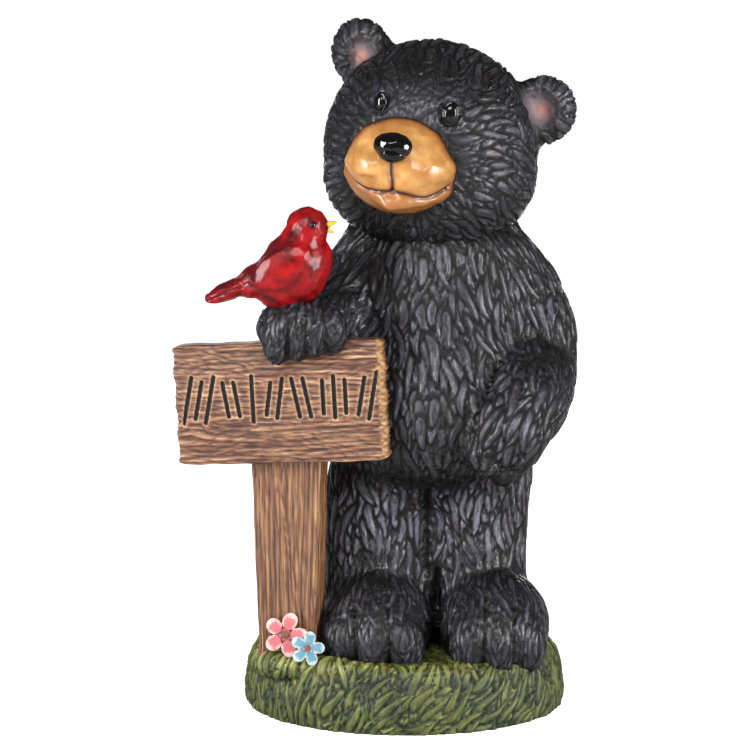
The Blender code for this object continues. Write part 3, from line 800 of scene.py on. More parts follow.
def board_form():
    board = fine_block("sign_board", BOARD_SIZE, (150, 12, 92))
    points, normals = read_points(board)
    points = round_block(points, BOARD_SIZE, BOARD_ROUNDING)
    u, y, v = points.T
    height = grain(u, v, BOARD_PITCH, KNOTS)
    ink, band = np.zeros(len(points)), np.zeros(len(points))
    for (x0, z0), (x1, z1) in stroke_lines():
        run = np.array((x1 - x0, z1 - z0))
        t = np.clip(((u - x0) * run[0] + (v - z0) * run[1]) / (run @ run), 0, 1)
        away = np.hypot(u - x0 - t * run[0], v - z0 - t * run[1])
        ink = np.maximum(ink, np.exp(-(away / STROKE_HALF) ** 4) * (y < 0))
        band = np.maximum(band, np.exp(-(away / BAND_HALF) ** 4) * (y < 0))
    height = height * (1 - 0.85 * band) + 0.8 * band
    face = np.clip(np.abs(y) / (BOARD_SIZE.y / 2) * 2.5 - 1.5, 0, 1)
    points[:, 1] -= np.sign(y) * face * (1.25 * (1 - height) + 1.5 * ink)
    rim = np.clip(np.abs(v) / (BOARD_SIZE.z / 2) * 12 - 11, 0, 1)
    points[:, 2] -= np.sign(v) * rim * (0.9 * (0.5 + 0.5 * wander(u / 9, 0 * u + np.sign(v)))
                                       + 1.6 * np.exp(-((np.abs(u) - 64) / 4) ** 2))
    end = np.clip(np.abs(u) / (BOARD_SIZE.x / 2) * 10 - 9, 0, 1)
    worn = 1.3 * (1 - grain(0 * u + np.sign(u) * 30, v, BOARD_PITCH))
    worn += 1.3 * (0.5 + 0.5 * wander(v / 6, 0 * v + 2))
    points[:, 0] -= np.sign(u) * end * worn
    bevel = np.clip((u - BEVEL_START + 0.8 * wander(v / 3, u / 4)) / 6, 0, 1)
    pits = 0.5 + 0.5 * wander(v / 1.3, u / 1.5)
    points[:, 1] += np.where(y < 0, bevel * (3.2 + 1.0 * pits), 0)
    height = np.where((bevel > 0.1) & (y < 0), 0.35 + 0.5 * pits, height)
    paint_values(board, "relief", height)
    paint_values(board, "ink", ink)
    paint_values(board, "worn", np.clip(np.maximum(2.5 * bevel * (y < 2), 0.25 * band), 0, 1))
    middle = SIGN_TOP - Vector((0, 0, BOARD_SIZE.z / 2 * MM))
    place = Matrix.LocRotScale(middle, Euler((0, SIGN_ROLL, SIGN_YAW)), (MM,) * 3)
    write_points(board, points)
    board.data.transform(place)
    return board


board = board_form()
print("the board has", faces_of(board), "triangles")


# %% Sign post
def post_form():
    foot, top = SOLES, SIGN_TOP.z - BOARD_SIZE.z / 2 * MM
    size = Vector((POST_TOP, POST_DEEP, (top - foot) / MM))
    post = fine_block("sign_post", size, (56, 30, 150))
    points, normals = read_points(post)
    points = round_block(points, size, POST_ROUNDING)
    x, y, z = points.T
    seen_from_side = np.abs(normals[:, 0]) > np.abs(normals[:, 1])
    height = grain(0.5 * z, np.where(seen_from_side, y + 40, x), POST_PITCH, ((10, -2, 0.8),))
    front = np.clip(np.abs(y) / (POST_DEEP / 2) * 4 - 3, 0, 1)
    sides = np.clip(np.abs(x) / (POST_TOP / 2) * 6 - 5, 0, 1)
    points[:, 1] -= np.sign(y) * front * 1.1 * (1 - height)
    points[:, 0] -= np.sign(x) * sides * (0.9 * (1 - height) + 0.8 * (0.5 + 0.5 * wander(z / 14, 0 * z + 1)))
    down = 0.5 - z / size.z
    points[:, 0] *= 1 + down * (POST_FOOT / POST_TOP - 1) + 0.10 * np.exp(-((down - 1) / 0.05) ** 2)
    paint_values(post, "relief", height)
    paint_values(post, "ink", 0 * height)
    paint_values(post, "worn", np.clip(np.abs(x) / (POST_TOP / 2) * 5 - 4, 0, 1) * 0.8)
    front_face = SIGN_TOP.y + (BOARD_SIZE.y / 2 - 3) * MM
    middle = Vector((SIGN_TOP.x + 0.03 * BOARD_SIZE.x * MM, front_face + POST_DEEP / 2 * MM,
                     (top + foot) / 2))
    write_points(post, points)
    post.data.transform(Matrix.LocRotScale(middle, Euler((0, 0, SIGN_YAW)), (MM,) * 3))
    return post


post = post_form()
print("the post has", faces_of(post), "triangles")

# %% [markdown]
# ## The bird
# A plump body that leans back on its tail, a round head, folded wings, and knife facets all over. The
# beak is open, so it is two small wedges.

# %% Bird
BIRD_PLACE = on_bear(-83, -64, 241)
BIRD_CELL = 0.7 * MM


def on_bird(x, y, z):
    return BIRD_PLACE + MM * Vector((x, y, z))


def bird_ball(bm, x, y, z, radii, turn=(0, 0, 0)):
    ball(bm, on_bird(x, y, z), MM * Vector(radii), turn)


def bird_form():
    bm = bmesh.new()
    bird_ball(bm, 0, 0, 0, (26, 18, 19), (0, -40, 0))
    bird_ball(bm, 4, 0, 0, (16.4, 17, 19))
    bird_ball(bm, 8.7, -1, 25.0, (12.3, 11.4, 11.9))
    bird_ball(bm, 5, -1, 14, (14.6, 13.5, 14))
    bird_ball(bm, -3, -1, 9, (14, 13, 12), (0, -45, 0))
    bird_ball(bm, -19, 0, -5, (15, 12, 10), (0, -28, 0))
    bird_ball(bm, -35, 0, -11, (17, 9, 5.5), (0, -22, 0))
    for side in (-1, 1):
        bird_ball(bm, -6, side * 12.5, 2, (20, 5.5, 11.5), (0, -36, side * 8))
    bird = add_object("bird", bm)
    fuse(bird, 1.3 * MM, 5)
    fuse(bird, BIRD_CELL, 4)
    cut_facets(bird, 7.5 * MM, 0.9, seed=9)
    fuse(bird, BIRD_CELL, 2)
    return bird


bird = bird_form()
bird_cuts = np.zeros(len(bird.data.vertices))
for marks, width, depth in (
    (((-50, -7, -19), (-38, -9, -12), (-26, -12, -6)), 1.5, 0.8),
    (((-51, -3, -18), (-38, -4, -9), (-27, -6, -2)), 1.5, 0.8),
    (((-51, 3, -18), (-38, 4, -9), (-27, 6, -2)), 1.5, 0.8),
    (((-26, -13, -8), (-14, -17, -12), (-2, -18, -9), (6, -17, 0)), 3.4, 0.4),
    (((-26, 13, -8), (-14, 17, -12), (-2, 18, -9), (6, 17, 0)), 3.4, 0.4),
    (((-28, 0, 1), (-14, 0, 15), (-2, 0, 26)), 3.0, 0.4),
):
    cut = cut_line(bird, [on_bird(*m) for m in marks], width * MM, depth * MM, drop=False)
    bird_cuts = np.maximum(bird_cuts, cut)
points, normals = read_points(bird)
for side in (-1, 1):
    away = np.linalg.norm(points - np.array(on_bird(12.4, -1 + side * 10.0, 27.0)), axis=1) / MM
    points -= (0.25 * MM * np.exp(-((away - 2.7) / 0.7) ** 2))[:, None] * normals
    bird_cuts = np.maximum(bird_cuts, np.exp(-(away / 3.2) ** 4))
write_points(bird, points)
# The bird's top and back, by which way the surface faces: painted shade.
backs = np.clip(normals[:, 2] * 0.9 - normals[:, 0] * 0.6, 0, 1) * (points[:, 2] < on_bird(0, 0, 20).z)
paint_values(bird, "cut", bird_cuts)
paint_values(bird, "dusk", local_mean(bird, backs, 6))
print("the bird has", faces_of(bird), "triangles")


# %% Beak and bird's eyes
def beak_form():
    bm = bmesh.new()
    halves = (((17.5, -1, 25.8), (25.8, -1.2, 28.2), 5.6), ((17.5, -1, 24.8), (24.2, -1.2, 22.0), 4.8))
    for base, tip, wide in halves:
        run = Vector(tip) - Vector(base)
        turn = run.to_track_quat("Z", "Y").to_matrix().to_4x4()
        place = Matrix.Translation(on_bird(*(Vector(base) + run / 2))) @ turn
        bmesh.ops.create_cone(bm, cap_ends=True, segments=20, radius1=0.5 * wide * MM,
                              radius2=0.09 * wide * MM, depth=run.length * MM, matrix=place)
    beak = add_object("beak", bm)
    fuse(beak, 0.4 * MM, 2)
    return beak


beak = beak_form()
bird_eyes = []
for side, name in ((-1, "bird_left_eye"), (1, "bird_right_eye")):
    bm = bmesh.new()
    ball(bm, on_bird(12.4, -1 + side * 10.0, 27.0), MM * Vector((2.0, 1.3, 2.0)), (0, 0, -side * 20))
    bird_eyes.append(add_object(name, bm))

# %% [markdown]
# ## The grass
# An oval cushion with a flat underside. The same leaves that made the fur make the grass here, longer
# and standing up: up the sides, leaning one way, and flat over the top.

# %% Grass form
BASE_WIDE, BASE_DEEP, BASE_TALL = 200 * MM, 168 * MM, 35 * MM
GRASS_CELL = 1.08 * MM
BASE_PROFILE = ((0.968, 0.0), (0.980, 0.10), (0.985, 0.30), (0.980, 0.50), (0.965, 0.70), (0.940, 0.90),
                (0.905, 1.05), (0.85, 1.12), (0.76, 1.10), (0.64, 1.05), (0.40, 1.03))
POST_MOUND = (
    (-88, -24, 31, 7), (-84, -42, 33, 8.5), (-72, -53, 34, 8.5), (-56, -55, 33.5, 8), (-40, -63, 34, 8),
    (-22, -68, 33, 6),
)


def grass_form():
    bm = bmesh.new()
    rings = 96
    bmesh.ops.create_circle(bm, cap_ends=True, segments=rings, radius=1.0)
    foot = BASE_PROFILE[0][0]
    bmesh.ops.scale(bm, verts=bm.verts, vec=(foot * BASE_WIDE / 2, foot * BASE_DEEP / 2, 1))
    edges = bm.edges[:]
    for (share, level), (next_share, next_level) in zip(BASE_PROFILE, BASE_PROFILE[1:]):
        made = bmesh.ops.extrude_edge_only(bm, edges=edges)["geom"]
        verts = [g for g in made if isinstance(g, bmesh.types.BMVert)]
        edges = [g for g in made if isinstance(g, bmesh.types.BMEdge)]
        bmesh.ops.translate(bm, verts=verts, vec=(0, 0, (next_level - level) * BASE_TALL))
        bmesh.ops.scale(bm, verts=verts, vec=(next_share / share, next_share / share, 1))
    bmesh.ops.contextual_create(bm, geom=edges)
    bmesh.ops.recalc_face_normals(bm, faces=bm.faces)
    limb(bm, [Vector((*(MM * Vector(place)), reach * MM)) for *place, reach in POST_MOUND], placed=True)
    grass = add_object("grass", bm)
    fuse(grass, GRASS_CELL, 4)
    return grass


grass = grass_form()
points, normals = read_points(grass)
inwards = unit(np.column_stack((-points[:, 0], -points[:, 1], np.zeros(len(points)))))
swing = 0.62 + 0.35 * np.sin(points[:, 0] / (31 * MM)) + 0.25 * np.sin(points[:, 1] / (23 * MM))
sideways = np.cross(normals, np.array((0, 0, 1.0)))
blade_way = np.array((0, 0, 1.0)) + 0.5 * inwards - swing[:, None] * sideways
under = points[:, 2] < 0.6 * MM
lay_leaves(grass, blade_way, 27 * MM, 4.6 * MM, 3.2 * MM, seed=21, size=np.where(under, 0.0, 1.0), wobble=0.5,
           tip=0.6, ditch_width=0.4)
points, _ = read_points(grass)
points[:, 2] = np.maximum(points[:, 2], 0)
points[under, 2] = 0
write_points(grass, points)
print("the grass has", faces_of(grass), "triangles")

# %% [markdown]
# ## The flowers
# Two five-petalled flowers at the post's foot. Each petal is a flattened ball, tipped forwards at its
# edge so that the flower is a shallow cup, with short scratches towards the middle. Resin can't hang in
# the air, so a plug behind each flower joins it to the post.


# %% Flowers
POST_FRONT = Vector((SIGN_TOP.x, SIGN_TOP.y + (BOARD_SIZE.y / 2 - 3) * MM, BASE_TALL))


def flower(name, offset, width, facing, seed):
    """A flower so many millimetres right of, behind and above the foot of the post's front."""
    bm = bmesh.new()
    petals = 5
    for i in range(petals):
        turn = 2 * math.pi * (i + 0.25) / petals
        out = Vector((math.sin(turn), -0.12, math.cos(turn)))
        tip = Matrix.Rotation(turn, 4, "Y") @ Matrix.Rotation(math.radians(-16), 4, "X")
        shape = Matrix.Diagonal((0.172 * width, 1.5 * MM, 0.2 * width, 1))
        petal = Matrix.Translation(out * 0.315 * width) @ tip @ shape
        bmesh.ops.create_icosphere(bm, subdivisions=4, radius=1.0, matrix=petal)
    ball(bm, Vector((0, 0, 0)), (0.17 * width, 1.6 * MM, 0.17 * width))
    plug = -offset[1] * MM
    ball(bm, Vector((0, 0.5 * plug, 0)), (0.22 * width, 0.6 * plug, 0.22 * width))
    obj = add_object(name, bm)
    fuse(obj, 0.45 * MM, 2)
    points, normals = read_points(obj)
    radius = np.hypot(points[:, 0], points[:, 2]) / (0.5 * width)
    angle = np.arctan2(points[:, 0], points[:, 2])
    lobe = np.abs((angle / (2 * math.pi) * petals - 0.25 + 0.5) % 1 - 0.5) * 2
    rim = np.maximum((radius - 0.70) / 0.28, (lobe - 0.38) / 0.5 * np.clip(radius * 1.3, 0, 1))
    rim = np.clip(rim, 0, 1)
    spokes = np.sin(34 * angle + 2.2 * np.sin(7 * radius + seed)) * np.exp(-((radius - 0.42) / 0.26) ** 2)
    core = np.exp(-(radius / 0.17) ** 4)
    front = normals[:, 1] < 0
    dish = 0.9 * MM * (1 - rim) * np.clip(radius * 3, 0, 1)
    points[:, 1] += np.where(front, dish + 0.3 * MM * spokes - 0.5 * MM * core, 0)
    write_points(obj, points)
    paint_values(obj, "radius", radius)
    paint_values(obj, "rim", rim)
    paint_values(obj, "spoke", spokes)
    tilt, yaw = (math.radians(angle) for angle in facing)
    obj.data.transform(Matrix.LocRotScale(POST_FRONT + Vector(offset) * MM, Euler((tilt, 0, yaw)), (1, 1, 1)))
    return obj


pink = flower("pink_flower", (1.4, -5.5, 19), 27 * MM, (-12, -8), seed=1)
blue = flower("blue_flower", (14.6, -10.5, 12), 21 * MM, (-22, 14), seed=2)


# %% [markdown]
# ## Paints
# The real paint is acrylic under a satin varnish, laid on in three passes: a dark wash that stays in
# the cuts, the colour, and a nearly dry brush that only touches the ridges. So each paint here reads
# the carving's own height: cuts stay dark, ridges catch the light colour, and noise breaks the edge
# between them up as bristles do.


# %% One colour function and one node function
def linear(hex_colour):
    values = [int(hex_colour[i:i + 2], 16) / 255 for i in (1, 3, 5)]
    return (*[v / 12.92 if v <= 0.04045 else ((v + 0.055) / 1.055) ** 2.4 for v in values], 1.0)


def add(tree, kind, inputs=None, out=0, **settings):
    """Adds a node with its inputs and settings, and returns one of its outputs.

    An input takes a value, a hex colour or another node's output."""
    node = tree.nodes.new("ShaderNode" + kind)
    for name, value in settings.items():
        if name == "stops":
            while len(node.color_ramp.elements) < len(value):
                node.color_ramp.elements.new(0.5)
            for element, (position, colour) in zip(node.color_ramp.elements, value):
                element.position, element.color = position, linear(colour)
        else:
            setattr(node, name, value)
    for name, value in (inputs or {}).items():
        if isinstance(value, bpy.types.NodeSocket):
            tree.links.new(value, node.inputs[name])
        else:
            node.inputs[name].default_value = linear(value) if isinstance(value, str) else value
    return node.outputs[out]


def new_paint(name, roughness, coat=0.0, specular=0.5):
    paint = bpy.data.materials.new(name)
    paint.use_nodes = True
    shader = paint.node_tree.nodes["Principled BSDF"]
    shader.inputs["Roughness"].default_value = roughness
    shader.inputs["Coat Weight"].default_value = coat
    shader.inputs["Coat Roughness"].default_value = 0.12
    shader.inputs["Specular IOR Level"].default_value = specular
    return paint, paint.node_tree


# %% A wash over a colour, and the end of each paint
def wash(tree, colour, value, low, high, most, over, blend="MIX"):
    """Lays one colour over another, more strongly the further a value is from low to high."""
    amount = add(tree, "MapRange", {"Value": value, "From Min": low, "From Max": high, "To Max": most})
    return add(tree, "Mix", {0: amount, 6: colour, 7: over}, out=2, data_type="RGBA", blend_type=blend)


def lay_on(paint, colour, marks, strength, deep, rough=None):
    """Gives a paint its colour, its brush marks, so many millimetres deep, and a varying roughness."""
    tree = paint.node_tree
    shader = tree.nodes["Principled BSDF"]
    bump = add(tree, "Bump", {"Strength": strength, "Distance": deep * MM, "Height": marks})
    for name, source in (("Base Color", colour), ("Roughness", rough), ("Normal", bump)):
        if source is not None:
            tree.links.new(source, shader.inputs[name])
    return paint


# %% [markdown]
# ## Coat paint
# Black acrylic with a satin varnish over resin. Varnish is smooth on the ridges and thin in the cuts,
# so the roughness falls with height and every ridge has a crisp glint. The cuts are dead black and the
# leaves a blue grey; the fronts of the legs are painted paler, which is painted light, and creases,
# joins and the places under the chin and belly get painted shade. The strands are scratches along each
# leaf, about half a millimetre wide, drawn from the values that the carving left.


# %% Coat paint
def coat_paint():
    paint, tree = new_paint("satin_black_acrylic", 0.3, specular=0.36)
    names = ("relief", "body", "soot", "pale", "shade", "face", "lining", "pink")
    relief, body, soot, pale, shade, face, ears, pink = (
        add(tree, "Attribute", out="Fac", attribute_name=name) for name in names)
    comb = add(tree, "Attribute", out="Vector", attribute_name="comb")
    here = add(tree, "TexCoord", out="Object")
    scratch_at = add(tree, "VectorMath", {0: comb, 1: (1.5, 0.10, 60.0)}, operation="MULTIPLY")
    scratches = {"Vector": scratch_at, "Scale": 1.0, "Detail": 3.0, "Roughness": 0.6}
    strands = add(tree, "TexNoise", scratches)
    bristle = add(tree, "TexNoise", {"Vector": here, "Scale": 1 / (1.4 * MM), "Detail": 2.0})
    patches = add(tree, "TexNoise", {"Vector": here, "Scale": 1 / (24 * MM), "Detail": 3.0})
    ridge = add(tree, "MapRange", {"Value": body, "From Min": 0.06, "From Max": 0.42})
    level = -0.62
    for value, weight in ((ridge, 0.42), (body, 0.18), (relief, 0.5), (strands, 0.6), (bristle, 0.22),
                          (patches, 0.42), (pale, 0.15)):
        level = add(tree, "Math", {0: value, 1: weight, 2: level}, operation="MULTIPLY_ADD")
    colour = add(tree, "ValToRGB", {"Fac": level}, stops=(
        (0.04, "#010101"), (0.26, "#030304"), (0.44, "#141317"), (0.64, "#2d2b32"),
        (0.92, "#797783")))
    rusty = add(tree, "TexNoise", {"Vector": here, "Scale": 1 / (13 * MM), "Detail": 2.0})
    # The washes: random warm patches, painted shade in the creases and where forms meet, the grey face, and
    # darker paint with painted shade on the hood, insteps, under the chin and belly.
    for value, low, high, most, over, blend in (
            (rusty, 0.56, 0.72, 0.8, "#b07a66", "MULTIPLY"), (shade, 0, 1, 1, "#242222", "MULTIPLY"),
            (face, 0, 1, 0.55, "#3a393f", "MIX"), (soot, 0, 1, 0.82, "#0a0807", "MIX")):
        colour = wash(tree, colour, value, low, high, most, over, blend)
    pinkness = add(tree, "Math", {0: bristle, 1: 0.3, 2: pink}, operation="MULTIPLY_ADD")
    lining_colour = add(tree, "ValToRGB", {"Fac": pinkness}, stops=(
        (0.15, "#585155"), (0.48, "#6c5f62"), (0.85, "#80605d"), (1.1, "#956960")))
    colour = wash(tree, colour, ears, 0, 1, 1, lining_colour)
    varnish = {"Value": level, "From Min": 0.15, "From Max": 0.75, "To Min": 0.7, "To Max": 0.18}
    rough = add(tree, "MapRange", varnish)
    for value, dulled in ((soot, -0.16), (ears, 0.3)):
        rough = add(tree, "Math", {0: value, 1: dulled, 2: rough}, operation="MULTIPLY_ADD")
    return lay_on(paint, colour, strands, 0.6, 0.5, rough)


# %% Where the coat is darker, painted with shade or light, grey or pink
# Darker coat on the hood, the insteps and the tops of the forearms, and painted shade under the chin, under
# the belly and between the arm and the chest.
DARK_PAINT_AND_SHADE = (
    ((-36, -38, 356), 20, 1.0), ((-14, -46, 358), 22, 1.0), ((10, -48, 356), 22, 1.0),
    ((34, -42, 348), 20, 1.0), ((50, -32, 338), 14, 0.9), ((-4, -16, 370), 34, 1.0),
    ((30, -20, 360), 26, 0.9), ((40, -46, 262), 24, 0.9), ((10, -60, 264), 22, 0.9),
    ((-25, -58, 266), 20, 0.9), ((-50, -30, 262), 22, 0.9), ((-35, -34, 48), 24, 1.0),
    ((35, -34, 48), 24, 1.0), ((74, -30, 186), 22, 1.0), ((60, -46, 180), 14, 0.9),
    ((-25, -50, 120), 20, 0.9), ((5, -56, 122), 22, 0.9), ((32, -52, 116), 18, 0.9),
    ((-60, -26, 204), 22, 0.7), ((-44, -38, 228), 22, 0.7), ((-86, -50, 222), 14, 0.5),
)


def paint_coat_values(obj, ears=None):
    points, _ = read_points(obj)
    # The darker patches: darker paint on the hood, insteps and forearms, painted shade under the chin, the
    # belly and by the arm.
    paint_values(obj, "soot", nearness(points, DARK_PAINT_AND_SHADE))
    # The fronts of the legs are painted paler: painted light.
    paint_values(obj, "pale", nearness(points, [((x, -28, 78), 34, 1.0) for x in (-36, 30)]))
    face = nearness(points, [((-16, -62, 332), 22, 0.9), ((22, -58, 312), 22, 0.2)])
    paint_values(obj, "face", face * (ears is not None))
    paint_values(obj, "lining", np.zeros(len(points)) if ears is None else ears)
    pink = nearness(points, [((x + 1 + 2 * (x > 0), y + 7, z - 1), 6, 1.0) for (x, y, z), _, _ in EARS])
    paint_values(obj, "pink", pink)


# Painted shade on the head round the muzzle.
paint_values(head, "shade", 0.9 * shade_round(head, muzzle, 4 * MM))
paint_coat_values(head, lining)
paint_coat_values(upper)
paint_coat_values(lower)
black_coat = coat_paint()


# %% [markdown]
# ## Muzzle paint
# Ochre acrylic, varnished and mottled. It goes burnt brown and nearly black where it meets the fur, partly
# paint and partly painted shade, darker brown below the mouth line, and brown round a dark line painted in
# the cuts, which is painted shade, so the form reads even where it is smooth.


# %% Muzzle paint
def muzzle_paint():
    paint, tree = new_paint("ochre_acrylic", 0.32, coat=0.1)
    edge, cut, lip = (add(tree, "Attribute", out="Fac", attribute_name=name)
                      for name in ("edge", "cut", "lip"))
    here = add(tree, "TexCoord", out="Object")
    mottle = add(tree, "TexNoise", {"Vector": here, "Scale": 1 / (9 * MM), "Detail": 3.0})
    grit = add(tree, "TexNoise", {"Vector": here, "Scale": 1 / (1.4 * MM), "Detail": 3.0})
    colour = add(tree, "ValToRGB", {"Fac": mottle}, stops=(
        (0.30, "#99652f"), (0.50, "#ac7a40"), (0.72, "#c2955b")))
    # Near-black and burnt brown at the fur: partly paint, partly painted shade. Brown round the cuts: painted
    # shade round the dark painted line.
    for value, low, high, most, over in (
            (edge, 0.02, 0.48, 0.85, "#85481a"), (lip, 0.1, 0.9, 0.8, "#8a5526"),
            (edge, 0.38, 0.80, 0.97, "#150b06"), (cut, 0.05, 0.75, 0.75, "#7a4218"),
            (cut, 0.72, 0.95, 0.95, "#2a1007")):
        colour = wash(tree, colour, value, low, high, most, over)
    return lay_on(paint, colour, grit, 0.2, 0.15)


# %% [markdown]
# ## Enamels
# Nose and eyes are gloss black enamel, brushed on thick: nearly a mirror, over a form that isn't quite
# even. The bird is scarlet enamel with a black wash, with painted shade darkening its top and back. The beak
# is yellow.


# %% Black, scarlet and yellow enamel
def black_enamel():
    paint, tree = new_paint("black_enamel", 0.10, specular=0.45)
    here = add(tree, "TexCoord", out="Object")
    cloud = add(tree, "TexNoise", {"Vector": here, "Scale": 1 / (3 * MM), "Detail": 3.0})
    brush = add(tree, "TexNoise", {"Vector": here, "Scale": 1 / (2.2 * MM), "Detail": 3.0})
    colour = add(tree, "ValToRGB", {"Fac": cloud}, stops=((0.3, "#030303"), (0.8, "#09090b")))
    return lay_on(paint, colour, brush, 0.25, 0.12)


def scarlet_enamel():
    paint, tree = new_paint("scarlet_enamel", 0.30, specular=0.26)
    dusk, cut = (add(tree, "Attribute", out="Fac", attribute_name=name) for name in ("dusk", "cut"))
    here = add(tree, "TexCoord", out="Object")
    mottle = add(tree, "TexNoise", {"Vector": here, "Scale": 1 / (8 * MM), "Detail": 3.0})
    grit = add(tree, "TexNoise", {"Vector": here, "Scale": 1 / (1.2 * MM), "Detail": 3.0})
    colour = add(tree, "ValToRGB", {"Fac": mottle}, stops=(
        (0.32, "#3e0407"), (0.44, "#6d080c"), (0.60, "#8c0c11"), (0.80, "#a31718")))
    # Painted shade over the bird's top and back.
    colour = wash(tree, colour, dusk, 0.2, 0.9, 0.65, "#3a0a10")
    colour = wash(tree, colour, cut, 0.35, 1.0, 0.55, "#22060a")
    return lay_on(paint, colour, grit, 0.3, 0.15)


def yellow_enamel():
    paint, tree = new_paint("yellow_enamel", 0.35, coat=0.2)
    here = add(tree, "TexCoord", out="Object")
    cloud = add(tree, "TexNoise", {"Vector": here, "Scale": 1 / (2 * MM), "Detail": 3.0})
    colour = add(tree, "ValToRGB", {"Fac": cloud}, stops=(
        (0.35, "#b98a14"), (0.55, "#dcb428"), (0.80, "#f0d658")))
    return lay_on(paint, colour, cloud, 0.3, 0.1)


# %% [markdown]
# ## Wood paint
# The sign is resin too, cast from carved wood and painted as wood: a red brown wash in the grain, tan
# on the ridges and gold on the broken edges. The fibres are drawn out along the grain, about 1 mm wide
# and twenty times as long, with hairline cracks of brown between them. The cut strokes are filled with
# matt black.


# %% Wood paint
def wood_paint(name, squeeze, colours):
    """Squeeze draws the fibres out along the grain: it is small on the axis that the grain follows."""
    paint, tree = new_paint(name, 0.5)
    relief, ink, worn = (add(tree, "Attribute", out="Fac", attribute_name=name)
                         for name in ("relief", "ink", "worn"))
    here = add(tree, "TexCoord", out="Object")
    drawn_out = add(tree, "Mapping", {"Vector": here, "Scale": squeeze})
    fibres = add(tree, "TexNoise", {"Vector": drawn_out, "Scale": 1 / (1.1 * MM), "Detail": 4.0})
    cracks = add(tree, "TexNoise", {"Vector": drawn_out, "Scale": 1 / (0.75 * MM), "Detail": 1.0})
    blush = add(tree, "TexNoise", {"Vector": here, "Scale": 1 / (16 * MM), "Detail": 2.0})
    level = -0.45
    for value, weight in ((relief, 0.9), (fibres, 0.9)):
        level = add(tree, "Math", {0: value, 1: weight, 2: level}, operation="MULTIPLY_ADD")
    stops = tuple(zip((0.05, 0.30, 0.50, 0.72, 0.95), colours))
    colour = add(tree, "ValToRGB", {"Fac": level}, stops=stops)
    gold = add(tree, "ValToRGB", {"Fac": level}, stops=(
        (0.15, "#3f2712"), (0.45, "#80582a"), (0.85, "#b58f52")))
    for value, low, high, most, over, blend in (
            (blush, 0.45, 0.75, 0.5, "#d9a298", "MULTIPLY"), (cracks, 0.42, 0.34, 0.75, "#3a1f12", "MIX"),
            (worn, 0.0, 1.0, 0.8, gold, "MIX"), (ink, 0.25, 0.55, 1.0, "#07070a", "MIX")):
        colour = wash(tree, colour, value, low, high, most, over, blend)
    dulled = {"Value": ink, "From Min": 0.2, "From Max": 0.6, "To Min": 0.5, "To Max": 0.9}
    return lay_on(paint, colour, level, 0.6, 0.4, add(tree, "MapRange", dulled))


BOARD_COLOURS = ("#26140c", "#4c2d1f", "#725039", "#946f54", "#c3a17e")
POST_COLOURS = ("#331c10", "#593926", "#755036", "#8f6b45", "#b59463")


# %% [markdown]
# ## Grass paint
# Green acrylic in three brushed coats over a nearly black one, paler towards the top of the cushion, which
# is painted light. Each blade has a few veins along it, taken from the same values as the strands of the
# coat, and soil colour shows in patches.


# %% Grass paint
def grass_paint():
    paint, tree = new_paint("green_acrylic", 0.5, specular=0.4)
    relief, body = (add(tree, "Attribute", out="Fac", attribute_name=name) for name in ("relief", "body"))
    comb = add(tree, "Attribute", out="Vector", attribute_name="comb")
    here = add(tree, "TexCoord", out="Object")
    veins_at = add(tree, "VectorMath", {0: comb, 1: (1.3, 0.09, 40.0)}, operation="MULTIPLY")
    veins = add(tree, "TexNoise", {"Vector": veins_at, "Scale": 1.0, "Detail": 2.0})
    patches = add(tree, "TexNoise", {"Vector": here, "Scale": 1 / (14 * MM), "Detail": 3.0})
    soil = add(tree, "TexNoise", {"Vector": here, "Scale": 1 / (11 * MM), "Detail": 4.0})
    level = -0.64
    high = add(tree, "SeparateXYZ", {0: here}, out="Z")
    # Paler near the top of the cushion: painted light.
    top_light_heights = {"Value": high, "From Min": 30 * MM, "From Max": 40 * MM, "To Max": 0.24}
    painted_top_light = add(tree, "MapRange", top_light_heights)
    for value, weight in ((body, 0.28), (relief, 0.6), (veins, 0.9), (patches, 0.7), (painted_top_light, 1.0)):
        level = add(tree, "Math", {0: value, 1: weight, 2: level}, operation="MULTIPLY_ADD")
    colour = add(tree, "ValToRGB", {"Fac": level}, stops=(
        (0.04, "#0c0f05"), (0.24, "#232c11"), (0.46, "#434c20"), (0.68, "#686c36"),
        (0.96, "#aaa564")))
    colour = wash(tree, colour, soil, 0.58, 0.70, 0.45, "#4d3a1e")
    return lay_on(paint, colour, veins, 0.6, 0.5)


# %% [markdown]
# ## Petal paint
# Chalky paint, nearly matt, with a thick pale rim, streaks towards the middle and a brown heart.


# %% Petal paint
def petal_paint(name, rim_colour, petal_colour, streak, heart):
    paint, tree = new_paint(name, 0.65, specular=0.3)
    radius, spoke, rim = (add(tree, "Attribute", out="Fac", attribute_name=name)
                          for name in ("radius", "spoke", "rim"))
    here = add(tree, "TexCoord", out="Object")
    ragged = add(tree, "TexNoise", {"Vector": here, "Scale": 1 / (1.8 * MM), "Detail": 3.0})
    chalk = add(tree, "TexNoise", {"Vector": here, "Scale": 1 / (0.8 * MM), "Detail": 3.0})
    brushed = add(tree, "Math", {0: ragged, 1: 1.1, 2: rim}, operation="MULTIPLY_ADD")
    ragged_radius = add(tree, "Math", {0: ragged, 1: 0.15, 2: radius}, operation="MULTIPLY_ADD")
    colour = wash(tree, petal_colour, brushed, 0.75, 1.15, 1, rim_colour)
    colour = wash(tree, colour, spoke, 0.1, 0.7, 0.8, streak)
    colour = wash(tree, colour, ragged_radius, 0.31, 0.22, 1, heart)
    return lay_on(paint, colour, chalk, 0.4, 0.15)


# %% [markdown]
# ## Put the paints on and set the pieces on the body
# Every piece rides on the casting's one body, and stands for the solid node.

